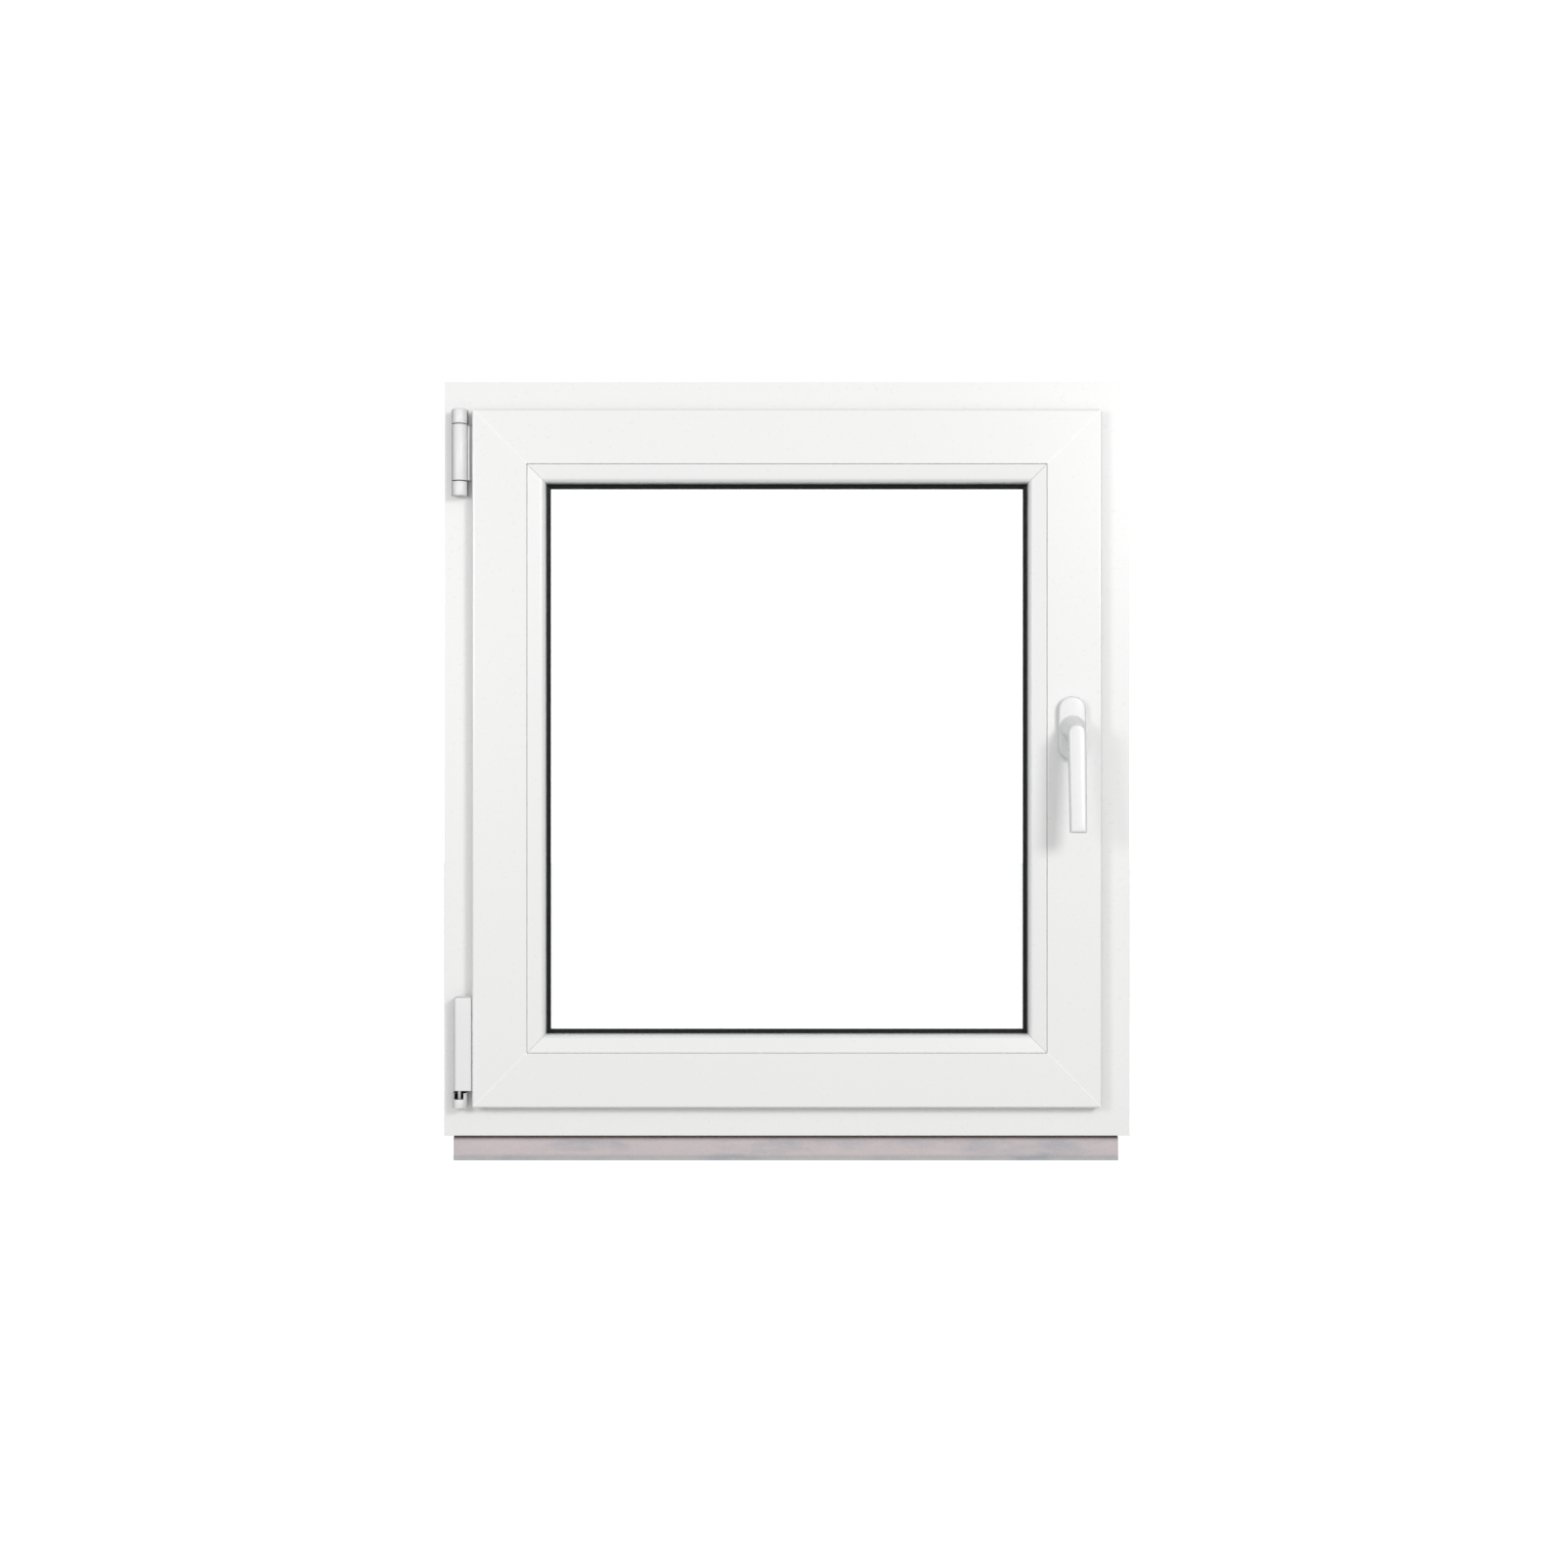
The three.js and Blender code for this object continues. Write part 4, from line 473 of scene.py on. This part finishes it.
def lever():
    """A grip with a round top and a blunt tip, and the flared neck that carries it."""
    tip_z = lever_lo.z
    centre_z = spindle.z - LEVER_DROP
    tip_front = lever_lo.y
    top_front = tip_front + LEVER_LEAN

    def placed(x, depth, z):
        down = min(1.0, max(0.0, (centre_z - z) / (centre_z - tip_z)))
        return (
            spindle.x + x * lerp(1.0, LEVER_TIP_HALF / LEVER_HALF, down),
            lerp(top_front, tip_front, down) + depth,
            z,
        )

    def front_outline(inset):
        half = LEVER_HALF - inset
        reach = half - LEVER_CORNER
        level = tip_z + inset + LEVER_CORNER
        foot = arc((-reach, level), LEVER_CORNER, 180, 270, 5)
        foot += arc((reach, level), LEVER_CORNER, 270, 360, 5)
        side = [(half, lerp(tip_z, centre_z, k / 8)) for k in range(1, 8)]
        other = [(-half, lerp(centre_z, tip_z, k / 8)) for k in range(1, 8)]
        return foot + side + arc((0.0, centre_z), half, 0, 180, 24) + other

    levels = [(inset, LEVER_THICKNESS - BACK_RIM + rise) for inset, rise in quarter(BACK_RIM)[::-1]]
    levels += [(inset, FRONT_RIM - rise) for inset, rise in quarter(FRONT_RIM, 7)]
    levels.append((FRONT_RIM + CROWN_INSET, -CROWN))
    rings = [[placed(x, depth, z) for x, z in front_outline(inset)] for inset, depth in levels]

    neck_back = plate_lo.y - 0.3 * MM
    neck_end = top_front + LEVER_THICKNESS * 0.6
    neck = []
    for i in range(NECK_STEPS + 1):
        share = i / NECK_STEPS
        centre = (spindle.x, lerp(spindle.z, centre_z, share))
        outline = ring(centre, lerp(*NECK_RADII, share ** NECK_FLARE), 48)
        neck.append([(x, lerp(neck_back, neck_end, share), z) for x, z in outline])
    vertices, faces = joined(loft(rings), loft(neck))
    piece = new_piece("lever_grip", vertices, faces, "handle_white", "handle",
                      replaces=("handle_lever",))
    sharpen(piece, 50.0)


lever()

# ---- corner hinge cover -------------------------------------------------------------------

COVER_RIM = 2.6 * MM
COVER_WALL = 1.2 * MM
COVER_LEFT = 4.2 * MM          # radii of the cover's two front edges
COVER_RIGHT = 2.0 * MM
COVER_HOLLOW = 4 * MM


def hinge_cover():
    """A thin cap over the corner hinge with soft edges, open below and behind."""
    lo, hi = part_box("corner_hinge_cover")

    def section(inset, z):
        left = arc((lo.x + COVER_LEFT, lo.y + COVER_LEFT), COVER_LEFT - inset, 180, 270, 8)
        kept = COVER_RIGHT - min(inset, COVER_RIGHT - 0.2 * MM)
        right = arc((hi.x - COVER_RIGHT, lo.y + COVER_RIGHT), kept, 270, 360, 5)
        back = hi.y - inset
        outline = [(lo.x + inset, back)] + left + right + [(hi.x - inset, back)]
        return [(x, y, z) for x, y in outline]

    rings = [section(COVER_WALL, lo.z + COVER_HOLLOW), section(COVER_WALL, lo.z), section(0, lo.z)]
    shoulder = hi.z - COVER_RIM
    rings += [section(0, lerp(lo.z, shoulder, i / 6)) for i in range(1, 7)]
    rings += [section(inset, shoulder + rise) for inset, rise in quarter(COVER_RIM)[1:]]
    vertices, faces = loft(rings)
    piece = new_piece("corner_cover_shell", vertices, faces, "hinge_white", "sash",
                      replaces=("corner_hinge_cover",))
    sharpen(piece, 40.0)


hinge_cover()

# ---- small parts of the stay hinge --------------------------------------------------------

bearing_lo, bearing_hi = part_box("stay_bearing")
hinge_axis = sum(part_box("stay_hinge_pin"), Vector()) / 2
BARREL_RADIUS = hinge_axis.x - bearing_lo.x
BARREL_JOINT = 17.5 * MM       # from the bearing's ends to the joints between barrels
joint_low = bearing_lo.z + BARREL_JOINT
joint_high = bearing_hi.z - BARREL_JOINT
BUSH_INSET = 0.35 * MM
RIB_SHORT = 1.3 * MM


def barrel_bushes():
    """Thin rings that show in the two joints of the stay hinge."""
    for name, level in (("lower", joint_low), ("upper", joint_high)):
        rings = []
        for inset, rise in ((0.5, -0.6), (0.0, -0.45), (0.0, 0.45), (0.5, 0.6)):
            outline = ring(hinge_axis.xy, BARREL_RADIUS - BUSH_INSET - inset * MM, 48)
            rings.append([(x, y, level + rise * MM) for x, y in outline])
        vertices, faces = loft(rings)
        sharpen(new_piece(f"stay_hinge_bush_{name}", vertices, faces, "plastic_black", "root"))


def upright_bar(name, x_span, y_span, z_span, radii, end, slot, body, steps):
    """An upright bar with rounded edges and eased ends, placed from the hinge's axis."""
    rings = []
    foot, top = z_span
    for inset, z in ((end, foot), (0, foot + end), (0, top - end), (end, top)):
        outline = rounded(
            hinge_axis.x + x_span[0] + inset, hinge_axis.x + x_span[1] - inset,
            hinge_axis.y + y_span[0], hinge_axis.y + y_span[1], radii, steps,
        )
        rings.append([(x, y, z) for x, y in outline])
    vertices, faces = loft(rings)
    sharpen(new_piece(name, vertices, faces, slot, body))


def hinge_shade_pads():
    """Thin dark pads behind the three barrels, just wider than they are: painted shade that
    outlines the barrels' edges in dark.
    """
    gap = 0.6 * MM
    spans = (
        ("lower", bearing_lo.z + gap, joint_low - gap, "root"),
        ("middle", joint_low + gap, joint_high - gap, "stay"),
        ("upper", joint_high + gap, bearing_hi.z - gap, "root"),
    )
    across = (-BARREL_RADIUS - 0.9 * MM, BARREL_RADIUS + 0.35 * MM)
    for name, foot, top, body in spans:
        upright_bar(f"stay_hinge_shade_pad_{name}", across, (3.0 * MM, 3.8 * MM), (foot, top),
                    [0.2 * MM] * 4, 0.3 * MM, "plastic_black", body, 2)


barrel_bushes()
# The raised edge of the stay band's leaf, beside its barrel.
upright_bar("stay_band_rib", (8.9 * MM, 11.2 * MM), (1.5 * MM, 10.5 * MM),
            (joint_low + RIB_SHORT, joint_high - RIB_SHORT),
            [0.8 * MM, 0.8 * MM, 0.2 * MM, 0.2 * MM], 0.5 * MM, "hinge_white", "stay", 4)
hinge_shade_pads()

# Black sheets that paint the shade in the corner hinge's cup and behind its swivel.
CUP_SHADE_FOOT = 7.4 * MM          # heights above the foot of the corner hinge's swivel
CUP_SHADE_TOP = 12.9 * MM
CUP_SHADE_WALL = 0.25 * MM
SHADE_HALF = 7.6 * MM
SHADE_OFF = 2.05 * MM
SHADE_THICKNESS = 0.5 * MM
SHADE_OVERLAP = 3 * MM


def cup_painted_shade():
    """Painted shade: black sheets behind the swivel, a half ring in the cup and a plate above it,
    that darken the cup's mouth.
    """
    lo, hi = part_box("corner_swivel")
    centre = ((lo.x + hi.x) / 2, (lo.y + hi.y) / 2)
    cup_top = lo.z + CUP_SHADE_TOP
    radius = (hi.x - lo.x) / 2
    outer = arc(centre, radius + CUP_SHADE_WALL, 0, 180, 24)
    inner = arc(centre, radius, 180, 0, 24)
    levels = (lo.z + CUP_SHADE_FOOT, cup_top)
    vertices, faces = loft([[(x, y, z) for x, y in outer + inner] for z in levels])
    sharpen(new_piece("cup_painted_shade", vertices, faces, "plastic_black", "root"))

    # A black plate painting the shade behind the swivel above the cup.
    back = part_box("frame_hinge_jamb")[0].y - SHADE_OFF
    plate = rounded(centre[0] - SHADE_HALF, centre[0] + SHADE_HALF,
                    back - SHADE_THICKNESS, back, [0.1 * MM] * 4, 2)
    levels = (cup_top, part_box("corner_hinge_cover")[0].z + SHADE_OVERLAP)
    vertices, faces = loft([[(x, y, z) for x, y in plate] for z in levels])
    sharpen(new_piece("bearing_painted_shade_plate", vertices, faces, "plastic_black", "root"))


cup_painted_shade()

# ---- welded corners -----------------------------------------------------------------------

weld_white = moulded("weld_white", (0.9, 0.9, 0.895), 0.2, 0.3)
END_SHARE = 0.38               # a bar's mitres lie farther from its middle than this share
LEVEL = 0.01
SEAM = 0.15 * MM               # from a bar's cut end to the middle of the joint
SASH_WELD = (1.1 * MM, 0.25 * MM)
FRAME_WELD = (0.8 * MM, 0.12 * MM)


def mitre_cut(bar, side):
    """The faces of a bar's cut end as a bmesh, and their normal; side is 1 at the right."""
    bm = bmesh.new()
    bm.from_mesh(nodes[bar].data)
    bm.transform(nodes[bar].matrix_world)
    bmesh.ops.remove_doubles(bm, verts=bm.verts, dist=MERGE)
    lo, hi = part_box(bar)
    middle = (lo.x + hi.x) / 2
    cut = [
        face for face in bm.faces
        if abs(face.normal.y) < LEVEL and abs(abs(face.normal.x) - abs(face.normal.z)) < LEVEL
        and (face.calc_center_median().x - middle) * side > (hi.x - lo.x) * END_SHARE
        and face.normal.x * side > 0.5
    ]
    normal = cut[0].normal.copy()
    kept = set(cut)
    rest = [face for face in bm.faces if face not in kept]
    bmesh.ops.delete(bm, geom=rest, context="FACES")
    bm.verts.index_update()
    return bm, normal


def weld_strip(bar, side, half_width, proud, body):
    """A low strip over a welded mitre, following the bar's own cut end."""
    bm, normal = mitre_cut(bar, side)
    rim = [edge for edge in bm.edges if len(edge.link_faces) == 1]
    outward = {vertex.index: Vector() for vertex in bm.verts}
    for edge in rim:
        first, second = edge.verts
        out = (second.co - first.co).normalized().cross(normal)
        inside = edge.link_faces[0].calc_center_median()
        if out.dot((first.co + second.co) / 2 - inside) < 0:
            out = -out
        outward[first.index] += out
        outward[second.index] += out
    grown = []
    for vertex in bm.verts:
        total = outward[vertex.index]
        shift = total.normalized() * proud if total.length > 0.2 else Vector()
        grown.append(vertex.co + shift)
    vertices = []
    for end in (-half_width, half_width):
        vertices += [point + normal * (SEAM + end) for point in grown]
    count = len(grown)
    faces = []
    for face in bm.faces:
        loop = [vertex.index for vertex in face.verts]
        faces.append(tuple(loop))
        faces.append(tuple(k + count for k in reversed(loop)))
    for edge in rim:
        a, b = (vertex.index for vertex in edge.verts)
        faces.append((a, b, b + count, a + count))
    bm.free()
    piece = new_piece(f"weld_{bar}_{'right' if side > 0 else 'left'}", vertices, faces, "pvc_white",
                      body, smooth=False)
    if body == "sash":
        piece.data.materials[0] = weld_white
    soften = piece.modifiers.new("ease", "BEVEL")
    soften.width = proud * 0.9
    soften.segments = 1
    soften.limit_method = "ANGLE"
    soften.angle_limit = math.radians(40)


for bars, size, body in (
    (("sash_top_rail", "sash_bottom_rail"), SASH_WELD, "sash"),
    (("frame_head", "frame_sill"), FRAME_WELD, "root"),
):
    for bar in bars:
        for side in (-1, 1):
            weld_strip(bar, side, *size, body)

# ---- screws in the keepers and faceplates -------------------------------------------------

SCREW_RADIUS = 3.5 * MM
SCREW_DEPTH = 1.4 * MM
SCREW_PROUD = 0.05 * MM
CROSS_REACH = 1.9 * MM
CROSS_HALF = 0.45 * MM
CROSS_DEPTH = 1.0 * MM
CROSS_TAPER = 0.7
RIM_POINTS = 24
CROSS_POINTS = 12
KEEPER_BASE = 1.6 * MM
KEEPER_END = 8 * MM
KEEPER_ROW = 2 * MM
CORNER_SCREW = 58 * MM         # from the sash's outline to a corner drive's screw


def cross(scale=1.0):
    """The corners of a cross recess."""
    long, short = CROSS_REACH * scale, CROSS_HALF * scale
    quarter_turn = [(long, -short), (long, short), (short, short)]
    turns = [(1, 0), (0, 1), (-1, 0), (0, -1)]
    return [(x * c - y * s, x * s + y * c) for c, s in turns for x, y in quarter_turn]


def screw(name, place, outward, body):
    """A countersunk head, flush at place, facing outward, with a cross recess."""
    rim = ring((0.0, 0.0), SCREW_RADIUS, RIM_POINTS)
    flat = [Vector((x, y, 0.0)) for x, y in rim + cross()]
    faces = [tuple(t) for t in tessellate_polygon([flat[:RIM_POINTS], flat[RIM_POINTS:]])]
    vertices = flat + [Vector((x, y, -CROSS_DEPTH)) for x, y in cross(CROSS_TAPER)]
    vertices += [Vector((x * 0.6, y * 0.6, -SCREW_DEPTH)) for x, y in rim]
    mouth = RIM_POINTS
    floor = mouth + CROSS_POINTS
    point = floor + CROSS_POINTS
    for k in range(CROSS_POINTS):
        after = (k + 1) % CROSS_POINTS
        faces.append((mouth + k, mouth + after, floor + after, floor + k))
    faces.append(tuple(range(floor, point)))
    for k in range(RIM_POINTS):
        after = (k + 1) % RIM_POINTS
        faces.append((k, after, point + after, point + k))
    turn = Vector(outward).to_track_quat("Z", "Y")
    vertices = [Vector(place) + turn @ vertex for vertex in vertices]
    new_piece(name, vertices, faces, "hardware_zinc", body, smooth=False)


def keeper_screws():
    """Two in each keeper."""
    sink = KEEPER_BASE + SCREW_PROUD
    for keeper, outward in (
        ("keeper_lock_lower", (-1, 0, 0)), ("keeper_lock_upper", (-1, 0, 0)),
        ("keeper_head", (0, 0, -1)), ("keeper_sill", (0, 0, 1)),
    ):
        lo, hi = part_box(keeper)
        y = (lo.y + hi.y) / 2 + KEEPER_ROW
        for end in (0, 1):
            x = lerp(lo.x + KEEPER_END, hi.x - KEEPER_END, end)
            z = hi.z - sink if outward[2] < 0 else lo.z + sink
            if outward[0]:
                x, z = hi.x - sink, lerp(lo.z + KEEPER_END, hi.z - KEEPER_END, end)
            screw(f"{keeper}_screw_{end + 1}", (x, y, z), outward, "root")


def faceplate_screws():
    """Along each faceplate, where no rod runs."""
    stile_lo, stile_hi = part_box("sash_lock_stile")
    lock_lo, lock_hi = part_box("lock_faceplate")
    rail_lo, rail_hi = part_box("stay_rail")
    sill_lo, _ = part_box("sill_faceplate")
    y = (lock_lo.y + lock_hi.y) / 2
    corner = stile_hi.x - CORNER_SCREW
    side = [stile_lo.z + CORNER_SCREW, stile_hi.z - CORNER_SCREW]
    above = [rail_lo.x + 20 * MM, rail_lo.x + 130 * MM, corner]
    below = [sill_lo.x + 14 * MM, sill_lo.x + 90 * MM, corner]
    for name, outward, places in (
        ("corner_drive", (1, 0, 0), [(lock_hi.x + SCREW_PROUD, y, z) for z in side]),
        ("stay_rail", (0, 0, 1), [(x, y, rail_hi.z + SCREW_PROUD) for x in above]),
        ("sill_plate", (0, 0, -1), [(x, y, sill_lo.z - SCREW_PROUD) for x in below]),
    ):
        for number, place in enumerate(places, 1):
            screw(f"{name}_screw_{number}", place, outward, "sash")


keeper_screws()
faceplate_screws()

# ---- stage, lights and camera -------------------------------------------------------------

def stage_plane(name, corners, glow):
    """A white sheet that the camera sees and that throws no light on the window."""
    mesh = bpy.data.meshes.new(name)
    mesh.from_pydata(corners, [], [(0, 1, 2, 3)])
    sheet = bpy.data.objects.new(name, mesh)
    scene.collection.objects.link(sheet)
    pale = Nodes(f"{name}_pale")
    pale.colour(pale.ramp(pale.noise(2.0), [(0.3, (0.93, 0.93, 0.93)), (0.7, (0.95, 0.95, 0.95))]))
    pale.set(Roughness=0.9, Emission_Color=(1, 1, 1, 1), Emission_Strength=glow)
    mesh.materials.append(pale.material)
    sheet.visible_diffuse = False
    sheet.visible_glossy = False


HALF = 12.0
BACK = 9.0
WALL_FOOT, WALL_TOP = -1.0, 8.0
stage_plane("floor", [(-HALF, -HALF, 0), (HALF, -HALF, 0), (HALF, HALF, 0), (-HALF, HALF, 0)], 0.8)
stage_plane("backdrop", [
    (-HALF, BACK, WALL_FOOT), (HALF, BACK, WALL_FOOT),
    (HALF, BACK, WALL_TOP), (-HALF, BACK, WALL_TOP),
], 1.0)

# Light from all round: bright from the room side and from behind, and dim from the sides.
SKY = [(0.0, 1.0), (0.12, 0.88), (0.28, 0.34), (0.42, 0.16), (0.75, 0.2), (1.0, 0.95)]
SKY_STRENGTH = 0.84

world = bpy.data.worlds.new("studio")
scene.world = world
world.use_nodes = True
sky = world.node_tree.nodes
sky_links = world.node_tree.links
direction = sky.new("ShaderNodeTexCoord")
parts = sky.new("ShaderNodeSeparateXYZ")
tone = sky.new("ShaderNodeValToRGB")
depth = sky.new("ShaderNodeMapRange")
depth.inputs["From Min"].default_value = -1.0
sky_links.new(direction.outputs["Generated"], parts.inputs["Vector"])
sky_links.new(parts.outputs["Y"], depth.inputs["Value"])
sky_links.new(depth.outputs["Result"], tone.inputs["Fac"])
while len(tone.color_ramp.elements) < len(SKY):
    tone.color_ramp.elements.new(0.5)
for element, (place, level) in zip(tone.color_ramp.elements, SKY):
    element.position = place
    element.color = (level, level, level, 1.0)
sky_links.new(tone.outputs["Color"], sky["Background"].inputs["Color"])
sky["Background"].inputs["Strength"].default_value = SKY_STRENGTH


def softbox(name, place, target, size, power):
    light = bpy.data.lights.new(name, "AREA")
    light.shape = "RECTANGLE"
    light.size, light.size_y = size
    light.energy = power
    lamp = bpy.data.objects.new(name, light)
    scene.collection.objects.link(lamp)
    lamp.location = place
    lamp.rotation_euler = (Vector(target) - Vector(place)).to_track_quat("-Z", "Y").to_euler()


softbox("key", (1.45, -2.7, 1.4), (0, 0, 0.5), (0.7, 0.7), 35.0)
softbox("fill", (-1.25, -2.0, 0.85), (-0.1, 0, 0.5), (0.55, 0.55), 11.0)

VIEW_DISTANCE = 2.4
FIELD = 1.8297                 # width of the view at the frame's room face
CAMERA_X = -0.0034
CAMERA_HEIGHT = 0.441
room_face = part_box("frame_head")[0].y
camera_data = bpy.data.cameras.new("camera")
camera_data.sensor_width = 36.0
camera_data.lens = camera_data.sensor_width * VIEW_DISTANCE / FIELD
camera = bpy.data.objects.new("camera", camera_data)
scene.collection.objects.link(camera)
camera.location = (CAMERA_X, room_face - VIEW_DISTANCE, CAMERA_HEIGHT)
camera.rotation_euler = (math.radians(90), 0, 0)
scene.camera = camera
scene.view_settings.view_transform = "Standard"
